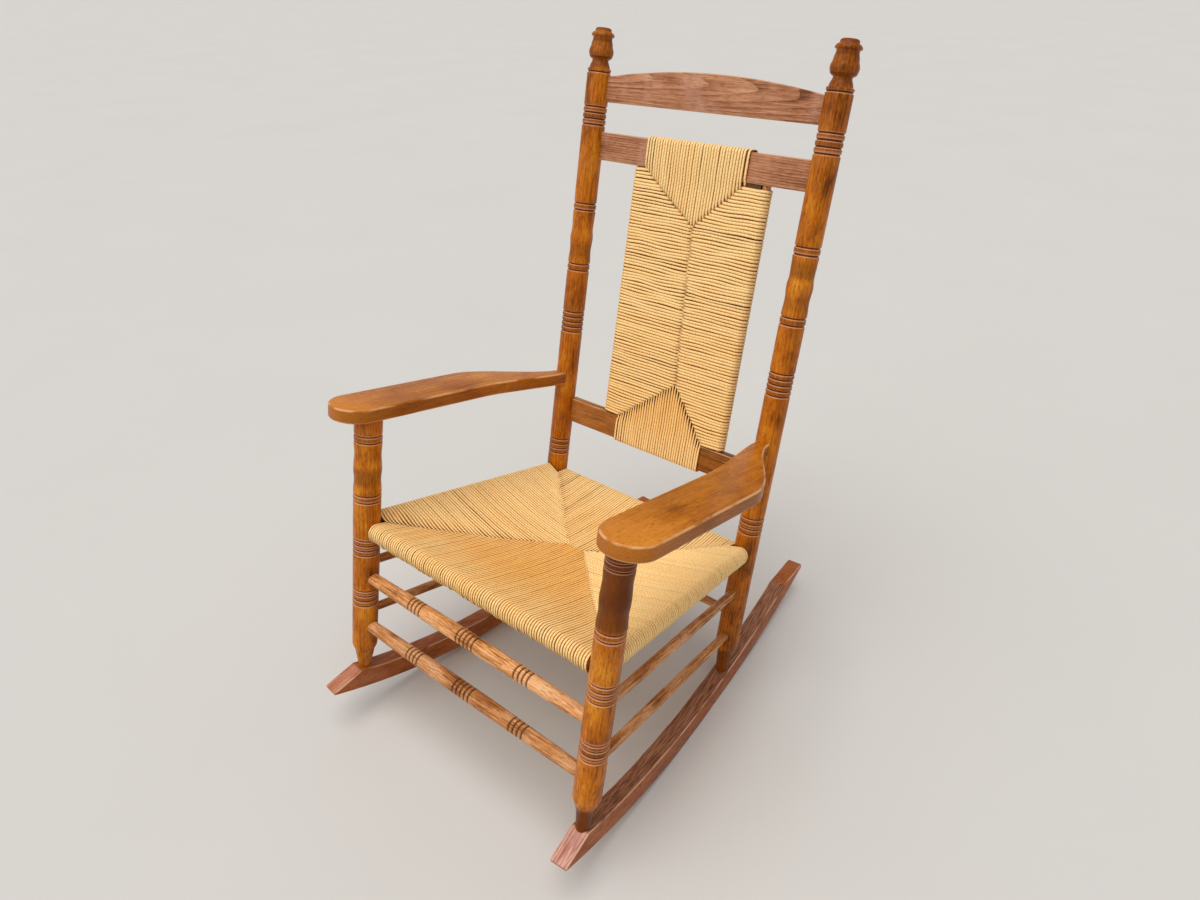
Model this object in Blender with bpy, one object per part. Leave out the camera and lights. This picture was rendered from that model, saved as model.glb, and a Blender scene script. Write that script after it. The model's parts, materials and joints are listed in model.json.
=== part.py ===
"""A turned-post oak rocking chair with a woven rush seat and back panel.

Metres, +Z up. The chair faces -Y and stands on the floor at z = 0, with the origin under its middle.
Posts, rails, arms and seat form a square frame. It is built upright in its own coordinates (x across,
y back from the front posts, z along the posts, called the level) and leaned back by one parent empty.
The rockers stand upright on the floor under the leaning frame.
"""
import math

import bmesh
import bpy
from mathutils import Vector

# Frame: spreads between post axes, lean, and the height of level zero on the front posts
LEAN = math.radians(12.9)
FRONT_SPREAD = 0.560
REAR_SPREAD = 0.482
FRAME_DEPTH = 0.477
FRAME_LIFT = 0.126
CLEARANCE = 0.0003

# Turned posts
POST_SIDES = 14
FRONT_POST_RADIUS = 0.0235
REAR_POST_RADIUS = 0.02225
COVE_DEPTH = 0.0014
WAIST_DEPTH = 0.0019
GROOVE_DEPTH = 0.0018
GROOVE_HALF_WIDTH = 0.0016
GROOVE_PITCH = 0.0105

# Groups of ring grooves: first and last groove, from the piece that each group sits by
RINGS_BELOW_ARM = (-0.029, -0.041)
RINGS_ABOVE_SEAT = (0.069, 0.056)
RINGS_BELOW_SEAT = (-0.020, -0.050)
RINGS_BELOW_STRETCHER = (-0.025, -0.057)
RINGS_ABOVE_SIDE_RAIL = (0.074, 0.0424)
RINGS_ABOVE_ARM = (0.1525, 0.112)
RINGS_UNDER_WAIST = (-0.2266, -0.239)
RINGS_OVER_WAIST = (-0.109, -0.1215)
RINGS_ABOVE_BACK_RAIL = (0.0675, 0.036)

# Shallow waves: place from the arm's underside or from the upper back rail, and depth below the round
FRONT_WAVES = ((-0.064, COVE_DEPTH), (-0.093, 0.0), (-0.115, COVE_DEPTH))
REAR_WAVES = ((-0.146, COVE_DEPTH), (-0.167, COVE_DEPTH / 2), (-0.194, WAIST_DEPTH))

# Slim post feet and their tenons in the rockers, and the heights over the rockers where the round is full
FOOT_RADIUS = 0.012
FOOT_DEPTH = 0.024
FOOT_LENGTH = 0.029
FRONT_FOOT_TAPER = 0.080
REAR_FOOT_TAPER = 0.075

# Finial on each rear post: its neck groove above the crest rail's end, and its members above the neck
NECK_REVEAL = 0.0066
CONE_BASE_HEIGHT = 0.006
CONE_TOP_HEIGHT = 0.0184
CONE_TOP_RADIUS = 0.0148
BULB_FOOT_HEIGHT = 0.0224
BULB_FOOT_RADIUS = 0.016
BULB_HEIGHT = 0.0344
BULB_RADIUS = 0.0237
COLLAR_HEIGHT = 0.0531
COLLAR_RADIUS = 0.0186
RIM_HEIGHT = 0.0609
RIM_RADIUS = 0.0226
RIM_HALF_THICKNESS = 0.0032
BUTTON_HEIGHT = 0.0722
BUTTON_RADIUS = 0.0152
BUTTON_EASE = 0.0022

# Rockers: planks with a short flat between a front and a rear arc, placed from the front foot
ROCKER_FRONT_RADIUS = 1.160
ROCKER_REAR_RADIUS = 1.500
ROCKER_FLAT = 0.028
ROCKER_HEIGHT = 0.041
ROCKER_THICKNESS = 0.033
ROCKER_NOSE = 0.066
ROCKER_TAIL = 0.835
ROCKER_BALANCE = 0.392
NOSE_BEVEL = 0.056
NOSE_TIP = 0.005
TAIL_BEVEL = 0.090
TAIL_TIP = 0.009
ROCKER_EDGE = 0.003
FACET_TURN = math.radians(1.55)

# Arms
ARM_LEVEL = 0.495
ARM_THICKNESS = 0.025
ARM_WIDTH = 0.091
ARM_INSET = 0.026
ARM_NOSE = 0.058
ARM_SWEEP = 0.220
ARM_NECK_WIDTH = 0.025
ARM_EDGE = 0.004
ARM_TENON_RADIUS = 0.007
ARM_TENON_STOP = 0.0025
POST_TENON_RADIUS = 0.012
POST_TENON_LENGTH = 0.017

# Back rails
RAIL_THICKNESS = 0.020
RAIL_SETBACK = 0.010
RAIL_EDGE = 0.002
RAIL_TENON_THICKNESS = 0.010
RAIL_TENON_SHOULDER = 0.006
CREST_END_HEIGHT = 0.043
CREST_MIDDLE_HEIGHT = 0.062
HAND_GAP = 0.053
BACK_RAIL_HEIGHT = 0.050
UPPER_RAIL_LEVEL = 0.972
LOWER_RAIL_LEVEL = 0.437

# Seat rails and stretchers
TENON_STOP = 0.0075
DOWEL_SIDES = 10
SEAT_RAIL_RADIUS = 0.010
SEAT_TENON_RADIUS = 0.006
SEAT_LEVEL = 0.284
SEAT_RAIL_STAGGER = 0.010
UPPER_STRETCHER_LEVEL = 0.184
LOWER_STRETCHER_LEVEL = 0.080
STRETCHER_STAGGER = 0.025
FRONT_STRETCHER_END_RADIUS = 0.011
FRONT_STRETCHER_MIDDLE_RADIUS = 0.0142
FRONT_BEAD_SPACING = 0.130
FRONT_SIDE_BEADS = 0.0285
FRONT_MIDDLE_BEADS = 0.038
SIDE_STRETCHER_END_RADIUS = 0.008
SIDE_STRETCHER_MIDDLE_RADIUS = 0.0094
REAR_STRETCHER_LEVEL = 0.155

# Rush seat and back panel
CORD_THICKNESS = 0.0055
SEAT_SAG = 0.014
SEAT_DROOP = 0.006
SEAT_MIDDLE_THICKNESS = 0.024
SEAT_RIDGE_DEPTH = 0.266
SEAT_RIDGE_LENGTH = 0.037
STICK_SPREAD = 0.265
STICK_RADIUS = 0.0075
STICK_TENON_RADIUS = 0.005
STICK_TENON_LENGTH = 0.014
BACK_WRAP_WIDTH = 0.210
BACK_CORD_THICKNESS = 0.004
WEAVE_SHIFT = 0.009

# Nail that pins each arm's tenon in its rear post
NAIL_RADIUS = 0.0012
NAIL_HEAD_RADIUS = 0.0025
NAIL_HEAD_THICKNESS = 0.001
NAIL_LENGTH = 0.020
NAIL_TURN = math.radians(47)
NAIL_SIDES = 8

FINISHES = {
    "turned_oak": ((0.330, 0.125, 0.028, 1.0), 0.38, 0.0),
    "board_oak": ((0.300, 0.112, 0.030, 1.0), 0.42, 0.0),
    "rocker_oak": ((0.210, 0.070, 0.026, 1.0), 0.50, 0.0),
    "paper_rush": ((0.700, 0.430, 0.150, 1.0), 0.70, 0.0),
    "card": ((0.450, 0.330, 0.200, 1.0), 0.90, 0.0),
    "steel": ((0.600, 0.580, 0.540, 1.0), 0.35, 1.0),
}

SIDES = {"left": -1, "right": 1}

# Sizes and levels that follow from the values above
SIDE_SEAT_LEVEL = SEAT_LEVEL + SEAT_RAIL_STAGGER
STRETCHER_LEVELS = {"upper": UPPER_STRETCHER_LEVEL, "lower": LOWER_STRETCHER_LEVEL}
CREST_LEVEL = UPPER_RAIL_LEVEL + BACK_RAIL_HEIGHT / 2 + HAND_GAP
REAR_NECK_LEVEL = CREST_LEVEL + CREST_END_HEIGHT + NECK_REVEAL
ROLL_RADIUS = SEAT_RAIL_RADIUS + CORD_THICKNESS


def clear_scene():
    for item in list(bpy.data.objects):
        bpy.data.objects.remove(item, do_unlink=True)


def finish(item, name):
    colour, roughness, metallic = FINISHES[name]
    material = bpy.data.materials.new(f"{item.name}_{name}")
    material.use_nodes = True
    shader = material.node_tree.nodes["Principled BSDF"]
    shader.inputs["Base Color"].default_value = colour
    shader.inputs["Roughness"].default_value = roughness
    shader.inputs["Metallic"].default_value = metallic
    item.data.materials.append(material)


def add_object(name, form, parent=None, look=None):
    """Turns a bmesh into an object. One without a look is a cutter, kept out of the finished part."""
    bmesh.ops.recalc_face_normals(form, faces=form.faces)
    mesh = bpy.data.meshes.new(name)
    form.to_mesh(mesh)
    form.free()
    item = bpy.data.objects.new(name, mesh)
    bpy.context.scene.collection.objects.link(item)
    item.parent = parent
    if look:
        finish(item, look)
    else:
        item.hide_render = True
        item.display_type = "WIRE"
    return item


def shade_round(item):
    item.data.shade_smooth()
    item.data.set_sharp_from_angle(angle=math.radians(32))


def combine(item, other, operation="DIFFERENCE"):
    modifier = item.modifiers.new(f"{operation.lower()}_{other.name}", "BOOLEAN")
    modifier.operation = operation
    modifier.object = other
    modifier.solver = "EXACT"


def ease_edges(item, width, segments):
    modifier = item.modifiers.new("eased_edges", "BEVEL")
    modifier.width = width
    modifier.segments = segments
    modifier.limit_method = "ANGLE"
    modifier.angle_limit = math.radians(50)


def skin(loops):
    """Closed form through rings of equally many points, with a flat cap on the first and the last."""
    form = bmesh.new()
    rings = [[form.verts.new(point) for point in loop] for loop in loops]
    count = len(rings[0])
    for low, high in zip(rings, rings[1:]):
        for i in range(count):
            j = (i + 1) % count
            form.faces.new((low[i], low[j], high[j], high[i]))
    form.faces.new(list(reversed(rings[0])))
    form.faces.new(rings[-1])
    return form


def turned(profile, sides):
    """Lathe form about Z from (level, radius) pairs, bottom to top."""
    loops = []
    for level, radius in profile:
        turns = [2 * math.pi * (i + 0.5) / sides for i in range(sides)]
        loops.append([(radius * math.cos(a), radius * math.sin(a), level) for a in turns])
    return skin(loops)


def plate(outline, low, high):
    """Prism over a flat outline of (x, y) points."""
    return skin([[(x, y, z) for x, y in outline] for z in (low, high)])


def box(x, y, z):
    return plate([(x[0], y[0]), (x[1], y[0]), (x[1], y[1]), (x[0], y[1])], *z)


def grooves(place, rings, radius):
    """V grooves about a groove pitch apart, by a place on a round of the given radius."""
    first, last = rings
    gaps = max(1, round(abs(last - first) / GROOVE_PITCH))
    points = []
    for i in range(gaps + 1):
        level = place + first + (last - first) * i / gaps
        points.append((level - GROOVE_HALF_WIDTH, radius))
        points.append((level, radius - GROOVE_DEPTH))
        points.append((level + GROOVE_HALF_WIDTH, radius))
    return points


def smooth_step(t):
    t = min(max(t, 0.0), 1.0)
    return t * t * (3 - 2 * t)


def lean_point(depth, level):
    """Floor coordinates (y from level zero on the front axis, z) of a place on the leaning frame."""
    y = depth * math.cos(LEAN) + level * math.sin(LEAN)
    z = FRAME_LIFT - depth * math.sin(LEAN) + level * math.cos(LEAN)
    return y, z


def foot_level(depth, flat_end, radius):
    """Level at which a post's axis meets the top of the rocker's arc beyond one end of its flat."""
    y, z = lean_point(depth, 0.0)
    away = Vector((y - ROCKER_BALANCE - flat_end, z - radius))
    along = Vector((math.sin(LEAN), math.cos(LEAN)))
    half = away.dot(along)
    reach = (radius - ROCKER_HEIGHT) ** 2 - away.length_squared
    return -half - math.sqrt(half * half + reach)


FRONT_FOOT = foot_level(0.0, -ROCKER_FLAT / 2, ROCKER_FRONT_RADIUS)
REAR_FOOT = foot_level(FRAME_DEPTH, ROCKER_FLAT / 2, ROCKER_REAR_RADIUS)
FRONT_FOOT_Y = lean_point(0.0, FRONT_FOOT)[0]
REAR_FOOT_Y = lean_point(FRAME_DEPTH, REAR_FOOT)[0]
TOE = math.atan2((FRONT_SPREAD - REAR_SPREAD) / 2, REAR_FOOT_Y - FRONT_FOOT_Y)
MIDDLE_Y = (ROCKER_TAIL - ROCKER_NOSE) / 2 * math.cos(TOE) + FRONT_FOOT_Y


def make_frame():
    frame = bpy.data.objects.new("leaning_frame", None)
    bpy.context.scene.collection.objects.link(frame)
    frame.location = (0.0, -MIDDLE_Y, FRAME_LIFT)
    frame.rotation_euler = (-LEAN, 0.0, 0.0)
    return frame


def front_axis(side, level=0.0):
    return Vector((side * FRONT_SPREAD / 2, 0.0, level))


def rear_axis(side, level=0.0):
    return Vector((side * REAR_SPREAD / 2, FRAME_DEPTH, level))


def foot_profile(foot, taper, radius):
    """Tenon, slim foot and rounded shoulder at the bottom of a post."""
    points = [(foot - FOOT_DEPTH, FOOT_RADIUS)]
    steps = 3
    for i in range(steps + 1):
        level = foot + FOOT_LENGTH + (taper - FOOT_LENGTH) * i / steps
        points.append((level, FOOT_RADIUS + (radius - FOOT_RADIUS) * smooth_step(i / steps)))
    return points


def front_post_profile():
    radius = FRONT_POST_RADIUS
    shoulder = ARM_LEVEL - CLEARANCE
    middle = grooves(UPPER_STRETCHER_LEVEL, RINGS_BELOW_STRETCHER, radius)
    middle += grooves(SEAT_LEVEL, RINGS_BELOW_SEAT, radius)
    middle += grooves(SEAT_LEVEL, RINGS_ABOVE_SEAT, radius)
    middle += grooves(ARM_LEVEL, RINGS_BELOW_ARM, radius)
    middle += [(ARM_LEVEL + place, radius - depth) for place, depth in FRONT_WAVES]
    top = [(shoulder, radius), (shoulder, POST_TENON_RADIUS)]
    top += [(shoulder + POST_TENON_LENGTH, POST_TENON_RADIUS)]
    return foot_profile(FRONT_FOOT, FRONT_FOOT_TAPER, radius) + sorted(middle) + top


def finial_profile():
    base = REAR_NECK_LEVEL
    swell = (BULB_RADIUS + COLLAR_RADIUS) / 2
    return [
        (base + CONE_BASE_HEIGHT, REAR_POST_RADIUS),
        (base + CONE_TOP_HEIGHT, CONE_TOP_RADIUS),
        (base + BULB_FOOT_HEIGHT, BULB_FOOT_RADIUS),
        (base + (2 * BULB_FOOT_HEIGHT + BULB_HEIGHT) / 3, (BULB_FOOT_RADIUS + 2 * BULB_RADIUS) / 3),
        (base + BULB_HEIGHT, BULB_RADIUS),
        (base + (BULB_HEIGHT + COLLAR_HEIGHT) / 2, swell),
        (base + COLLAR_HEIGHT, COLLAR_RADIUS),
        (base + RIM_HEIGHT - RIM_HALF_THICKNESS, COLLAR_RADIUS),
        (base + RIM_HEIGHT, RIM_RADIUS),
        (base + RIM_HEIGHT + RIM_HALF_THICKNESS, RIM_RADIUS - RIM_HALF_THICKNESS),
        (base + RIM_HEIGHT + RIM_HALF_THICKNESS, BUTTON_RADIUS),
        (base + BUTTON_HEIGHT - BUTTON_EASE, BUTTON_RADIUS),
        (base + BUTTON_HEIGHT, BUTTON_RADIUS - BUTTON_EASE),
    ]


def rear_post_profile():
    radius = REAR_POST_RADIUS
    middle = grooves(SIDE_SEAT_LEVEL, RINGS_ABOVE_SIDE_RAIL, radius)
    middle += grooves(ARM_LEVEL, RINGS_ABOVE_ARM, radius)
    for rings in (RINGS_UNDER_WAIST, RINGS_OVER_WAIST, RINGS_ABOVE_BACK_RAIL):
        middle += grooves(UPPER_RAIL_LEVEL, rings, radius)
    middle += [(UPPER_RAIL_LEVEL + place, radius - depth) for place, depth in REAR_WAVES]
    neck = REAR_NECK_LEVEL
    middle += [(neck - GROOVE_HALF_WIDTH, radius), (neck, radius - GROOVE_DEPTH)]
    return foot_profile(REAR_FOOT, REAR_FOOT_TAPER, radius) + sorted(middle) + finial_profile()


def make_posts(frame):
    """Posts, and the spaces that rails, arms and rush leave for them."""
    posts = {}
    spaces = {}
    kinds = (
        ("front", front_axis, front_post_profile(), FRONT_POST_RADIUS),
        ("rear", rear_axis, rear_post_profile(), REAR_POST_RADIUS),
    )
    for kind, axis, profile, radius in kinds:
        for name, side in SIDES.items():
            post = add_object(f"{kind}_post_{name}", turned(profile, POST_SIDES), frame, "turned_oak")
            post.location = axis(side)
            shade_round(post)
            posts[kind, name] = post
            reach = [(0.0, radius + CLEARANCE), (REAR_NECK_LEVEL + BUTTON_HEIGHT, radius + CLEARANCE)]
            space = add_object(f"{kind}_post_space_{name}", turned(reach, POST_SIDES), frame)
            space.location = axis(side)
            spaces[kind, name] = space
    return posts, spaces


def rocker_edge(way, radius, height, reach, facet):
    """Points of one arc of a rocker, before (-1) or behind (1) its flat, at a height over the underside."""
    contact = ROCKER_BALANCE - FRONT_FOOT_Y
    last = math.asin(reach / radius)
    steps = math.ceil(last / facet)
    points = []
    for i in range(steps + 1):
        turn = last * i / steps
        y = contact + way * (ROCKER_FLAT / 2 + (radius - height) * math.sin(turn))
        points.append((y, radius - (radius - height) * math.cos(turn)))
    return points


def rocker_outline(drop):
    """Side view of a rocker, its top lowered by a drop: distance back from the front foot, and height."""
    contact = ROCKER_BALANCE - FRONT_FOOT_Y
    nose_reach = contact + ROCKER_NOSE - ROCKER_FLAT / 2
    tail_reach = ROCKER_TAIL - contact - ROCKER_FLAT / 2
    ends = (
        (-1, ROCKER_FRONT_RADIUS, nose_reach, NOSE_BEVEL, NOSE_TIP),
        (1, ROCKER_REAR_RADIUS, tail_reach, TAIL_BEVEL, TAIL_TIP),
    )
    halves = []
    for way, radius, reach, bevel, tip in ends:
        bottom = rocker_edge(way, radius, 0.0, reach, FACET_TURN)
        top = rocker_edge(way, radius, ROCKER_HEIGHT - drop, reach - bevel, 2 * FACET_TURN)
        y, z = bottom[-1]
        halves.append(bottom + [(y, z + tip)] + top[::-1])
    front, rear = halves
    return front[::-1] + rear


def make_rockers(frame):
    """Planks with a bevelled nose and tail, eased along the top, with a hole for each foot."""
    edge = ROCKER_THICKNESS / 2
    ease = edge - ROCKER_EDGE
    for name, side in SIDES.items():
        loops = []
        for x, drop in ((-edge, ROCKER_EDGE), (-ease, 0.0), (ease, 0.0), (edge, ROCKER_EDGE)):
            loops.append([(x, y, z) for y, z in rocker_outline(drop)])
        rocker = add_object(f"rocker_{name}", skin(loops), None, "rocker_oak")
        rocker.location = (side * FRONT_SPREAD / 2, FRONT_FOOT_Y - MIDDLE_Y, 0.0)
        rocker.rotation_euler = (0.0, 0.0, side * TOE)
        for kind, axis, foot in (("front", front_axis, FRONT_FOOT), ("rear", rear_axis, REAR_FOOT)):
            radius = FOOT_RADIUS + CLEARANCE
            hole = turned([(foot - FOOT_DEPTH - CLEARANCE, radius), (foot + FOOT_DEPTH, radius)], POST_SIDES)
            cutter = add_object(f"{kind}_foot_hole_{name}", hole, frame)
            cutter.location = axis(side)
            combine(rocker, cutter)


def make_dowel(name, ends, radii, profile, look, frame, posts):
    """Round rail or stretcher between two post axes, with blind holes for its tenons in both posts.

    The profile gives (share of the bare length, radius) pairs from the first post to the second.
    """
    start, stop = ends
    span = (stop - start).length
    tenon = profile[0][1]
    first = TENON_STOP
    last = span - TENON_STOP
    bare = span - radii[0] - radii[1]
    body = [(radii[0] + share * bare, radius) for share, radius in profile]
    form = turned([(first, tenon)] + body + [(last, tenon)], DOWEL_SIDES)
    wide = tenon + CLEARANCE
    room = turned([(first - CLEARANCE, wide), (last + CLEARANCE, wide)], DOWEL_SIDES)
    dowel = add_object(name, form, frame, look)
    hole = add_object(f"{name}_hole", room, frame)
    for item in (dowel, hole):
        item.location = start
        item.rotation_mode = "QUATERNION"
        item.rotation_quaternion = (stop - start).to_track_quat("Z", "Y")
    shade_round(dowel)
    for post in posts:
        combine(post, hole)
    return dowel


def seat_rail_profile(span):
    """Straight rail with a shoulder just short of each post."""
    gap = CLEARANCE / span
    start = [(gap, SEAT_TENON_RADIUS), (gap, SEAT_RAIL_RADIUS)]
    return start + [(1 - gap, SEAT_RAIL_RADIUS), (1 - gap, SEAT_TENON_RADIUS)]


def swelling_profile(end_radius, middle_radius, steps=6):
    profile = []
    for i in range(steps + 1):
        share = i / steps
        profile.append((share, end_radius + (middle_radius - end_radius) * math.sin(math.pi * share)))
    return profile


def beaded_profile(bare):
    """Swelling stretcher with three groups of ring grooves."""
    end, middle = FRONT_STRETCHER_END_RADIUS, FRONT_STRETCHER_MIDDLE_RADIUS
    points = swelling_profile(end, middle, 4)[1:-1]
    side, wide = FRONT_SIDE_BEADS / 2, FRONT_MIDDLE_BEADS / 2
    for place, reach in ((-FRONT_BEAD_SPACING, side), (0.0, wide), (FRONT_BEAD_SPACING, side)):
        radius = end + (middle - end) * math.cos(math.pi * place / bare)
        ringed = grooves(place, (-reach, reach), radius)
        points = [p for p in points if abs(p[0] - 0.5 - place / bare) > reach / bare]
        points += [(0.5 + x / bare, r) for x, r in ringed]
    return [(0.0, end)] + sorted(points) + [(1.0, end)]


def make_dowels(frame, posts):
    """Seat rails and stretchers. Returns the seat rails, which the rush wraps."""
    front = [posts["front", name] for name in SIDES]
    rear = [posts["rear", name] for name in SIDES]
    front_radii = (FRONT_POST_RADIUS, FRONT_POST_RADIUS)
    rear_radii = (REAR_POST_RADIUS, REAR_POST_RADIUS)
    front_bare = FRONT_SPREAD - 2 * FRONT_POST_RADIUS
    rear_bare = REAR_SPREAD - 2 * REAR_POST_RADIUS
    rails = {}

    ends = (front_axis(-1, SEAT_LEVEL), front_axis(1, SEAT_LEVEL))
    profile = seat_rail_profile(front_bare)
    rails["front"] = make_dowel("seat_rail_front", ends, front_radii, profile, "board_oak", frame, front)
    ends = (rear_axis(-1, SEAT_LEVEL), rear_axis(1, SEAT_LEVEL))
    profile = seat_rail_profile(rear_bare)
    rails["rear"] = make_dowel("seat_rail_rear", ends, rear_radii, profile, "board_oak", frame, rear)
    for name, level in STRETCHER_LEVELS.items():
        ends = (front_axis(-1, level), front_axis(1, level))
        profile = beaded_profile(front_bare)
        make_dowel(f"front_stretcher_{name}", ends, front_radii, profile, "turned_oak", frame, front)
    ends = (rear_axis(-1, REAR_STRETCHER_LEVEL), rear_axis(1, REAR_STRETCHER_LEVEL))
    plain = swelling_profile(SIDE_STRETCHER_END_RADIUS, SIDE_STRETCHER_MIDDLE_RADIUS)
    make_dowel("rear_stretcher", ends, rear_radii, plain, "turned_oak", frame, rear)

    side_radii = (FRONT_POST_RADIUS, REAR_POST_RADIUS)
    for name, side in SIDES.items():
        pair = (posts["front", name], posts["rear", name])
        ends = (front_axis(side, SIDE_SEAT_LEVEL), rear_axis(side, SIDE_SEAT_LEVEL))
        profile = seat_rail_profile((ends[1] - ends[0]).length - sum(side_radii))
        rails[name] = make_dowel(f"seat_rail_{name}", ends, side_radii, profile, "board_oak", frame, pair)
        for height, level in STRETCHER_LEVELS.items():
            side_level = level + STRETCHER_STAGGER
            ends = (front_axis(side, side_level), rear_axis(side, side_level))
            title = f"side_stretcher_{height}_{name}"
            make_dowel(title, ends, side_radii, plain, "turned_oak", frame, pair)
    return rails


def arm_outline(side):
    """Plan of an arm: round nose, straight sides, and an outer edge swept in to a narrow neck."""
    half = ARM_WIDTH / 2
    inner = FRONT_SPREAD / 2 - ARM_INSET
    outer = inner + ARM_WIDTH
    nose_y = half - ARM_NOSE
    neck_inner = REAR_SPREAD / 2 - ARM_NECK_WIDTH / 2
    neck_outer = REAR_SPREAD / 2 + ARM_NECK_WIDTH / 2
    end = FRAME_DEPTH - REAR_POST_RADIUS / 2
    points = []
    steps = 11
    for i in range(steps + 1):
        turn = math.pi * (1 + i / steps)
        points.append((inner + half + half * math.cos(turn), nose_y + half * math.sin(turn)))
    steps = 9
    for i in range(steps + 1):
        y = end - ARM_SWEEP * (1 - i / steps)
        points.append((outer - (outer - neck_outer) * smooth_step(i / steps), y))
    for i in range(steps, -1, -2):
        y = end - ARM_SWEEP * (1 - i / steps)
        points.append((inner - (inner - neck_inner) * smooth_step(i / steps), y))
    return [(side * x, y) for x, y in points]


def make_arms(frame, posts, spaces):
    """Paddle arms on the front posts' tenons, tenoned into the rear posts and pinned there by a nail."""
    middle = ARM_LEVEL + ARM_THICKNESS / 2
    for name, side in SIDES.items():
        form = plate(arm_outline(side), ARM_LEVEL, ARM_LEVEL + ARM_THICKNESS)
        arm = add_object(f"arm_{name}", form, frame, "board_oak")
        ease_edges(arm, ARM_EDGE, 2)
        combine(arm, spaces["rear", name])

        tail = 2 * REAR_POST_RADIUS
        form = turned([(ARM_TENON_STOP, ARM_TENON_RADIUS), (tail, ARM_TENON_RADIUS)], DOWEL_SIDES)
        tenon = add_object(f"arm_tenon_{name}", form, frame)
        wide = ARM_TENON_RADIUS + CLEARANCE
        form = turned([(ARM_TENON_STOP - CLEARANCE, wide), (tail, wide)], DOWEL_SIDES)
        hole = add_object(f"arm_tenon_hole_{name}", form, frame)
        for item in (tenon, hole):
            item.location = rear_axis(side, middle)
            item.rotation_euler = (math.pi / 2, 0.0, 0.0)
        combine(arm, tenon, "UNION")
        combine(posts["rear", name], hole)

        socket = POST_TENON_RADIUS + CLEARANCE
        depth = ARM_LEVEL + POST_TENON_LENGTH
        form = turned([(ARM_LEVEL - POST_TENON_LENGTH, socket), (depth, socket)], POST_SIDES)
        cutter = add_object(f"post_tenon_hole_{name}", form, frame)
        cutter.location = front_axis(side)
        combine(arm, cutter)

        surface = REAR_POST_RADIUS + CLEARANCE
        tip = surface - NAIL_LENGTH
        head = surface + NAIL_HEAD_THICKNESS
        shank = [(tip, NAIL_RADIUS), (surface, NAIL_RADIUS)]
        form = turned(shank + [(surface, NAIL_HEAD_RADIUS), (head, NAIL_HEAD_RADIUS)], NAIL_SIDES)
        nail = add_object(f"arm_nail_{name}", form, frame, "steel")
        bore = NAIL_RADIUS + CLEARANCE
        form = turned([(tip - CLEARANCE, bore), (head, bore)], NAIL_SIDES)
        nail_hole = add_object(f"nail_hole_{name}", form, frame)
        for item in (nail, nail_hole):
            item.location = rear_axis(side, middle)
            item.rotation_euler = (math.pi / 2, 0.0, -side * NAIL_TURN)
        combine(posts["rear", name], nail_hole)
        combine(arm, nail_hole)


def crest_outline(half):
    """Front view of the crest rail: straight below, arched above."""
    rise = CREST_MIDDLE_HEIGHT - CREST_END_HEIGHT
    points = [(-half, CREST_LEVEL), (half, CREST_LEVEL)]
    steps = 10
    for i in range(steps + 1):
        x = half * (1 - 2 * i / steps)
        points.append((x, CREST_LEVEL + CREST_END_HEIGHT + rise * (1 - (x / half) ** 2)))
    return points


def make_rails(frame, posts, spaces):
    """Flat back rails, coped to the posts, with a tongue into each. Returns the two that carry the rush."""
    half = REAR_SPREAD / 2 - REAR_POST_RADIUS / 3
    reach = REAR_SPREAD / 2 - TENON_STOP
    middle = FRAME_DEPTH + RAIL_SETBACK
    low_side, high_side = middle - RAIL_THICKNESS / 2, middle + RAIL_THICKNESS / 2
    rails = {}
    levels = {"upper_back_rail": UPPER_RAIL_LEVEL, "lower_back_rail": LOWER_RAIL_LEVEL}
    outlines = {"crest_rail": (crest_outline(half), CREST_LEVEL, CREST_LEVEL + CREST_END_HEIGHT)}
    for name, level in levels.items():
        low, high = level - BACK_RAIL_HEIGHT / 2, level + BACK_RAIL_HEIGHT / 2
        outlines[name] = ([(-half, low), (half, low), (half, high), (-half, high)], low, high)
    for name, (outline, low, high) in outlines.items():
        loops = [[(x, y, z) for x, z in outline] for y in (low_side, high_side)]
        rail = add_object(name, skin(loops), frame, "board_oak")
        ease_edges(rail, RAIL_EDGE, 1)
        tongue = RAIL_TENON_THICKNESS / 2
        tongue_middle = low_side + tongue
        for part in SIDES:
            combine(rail, spaces["rear", part])
        shape = []
        for grow in (0.0, CLEARANCE):
            across = (-reach - grow, reach + grow)
            thick = (tongue_middle - tongue - grow, tongue_middle + tongue + grow)
            tall = (low + RAIL_TENON_SHOULDER - grow, high - RAIL_TENON_SHOULDER + grow)
            shape.append(box(across, thick, tall))
        tenon = add_object(f"{name}_tenon", shape[0], frame)
        slot = add_object(f"{name}_slot", shape[1], frame)
        combine(rail, tenon, "UNION")
        for part in SIDES:
            combine(posts["rear", part], slot)
        rails[name] = rail
    return rails


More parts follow.
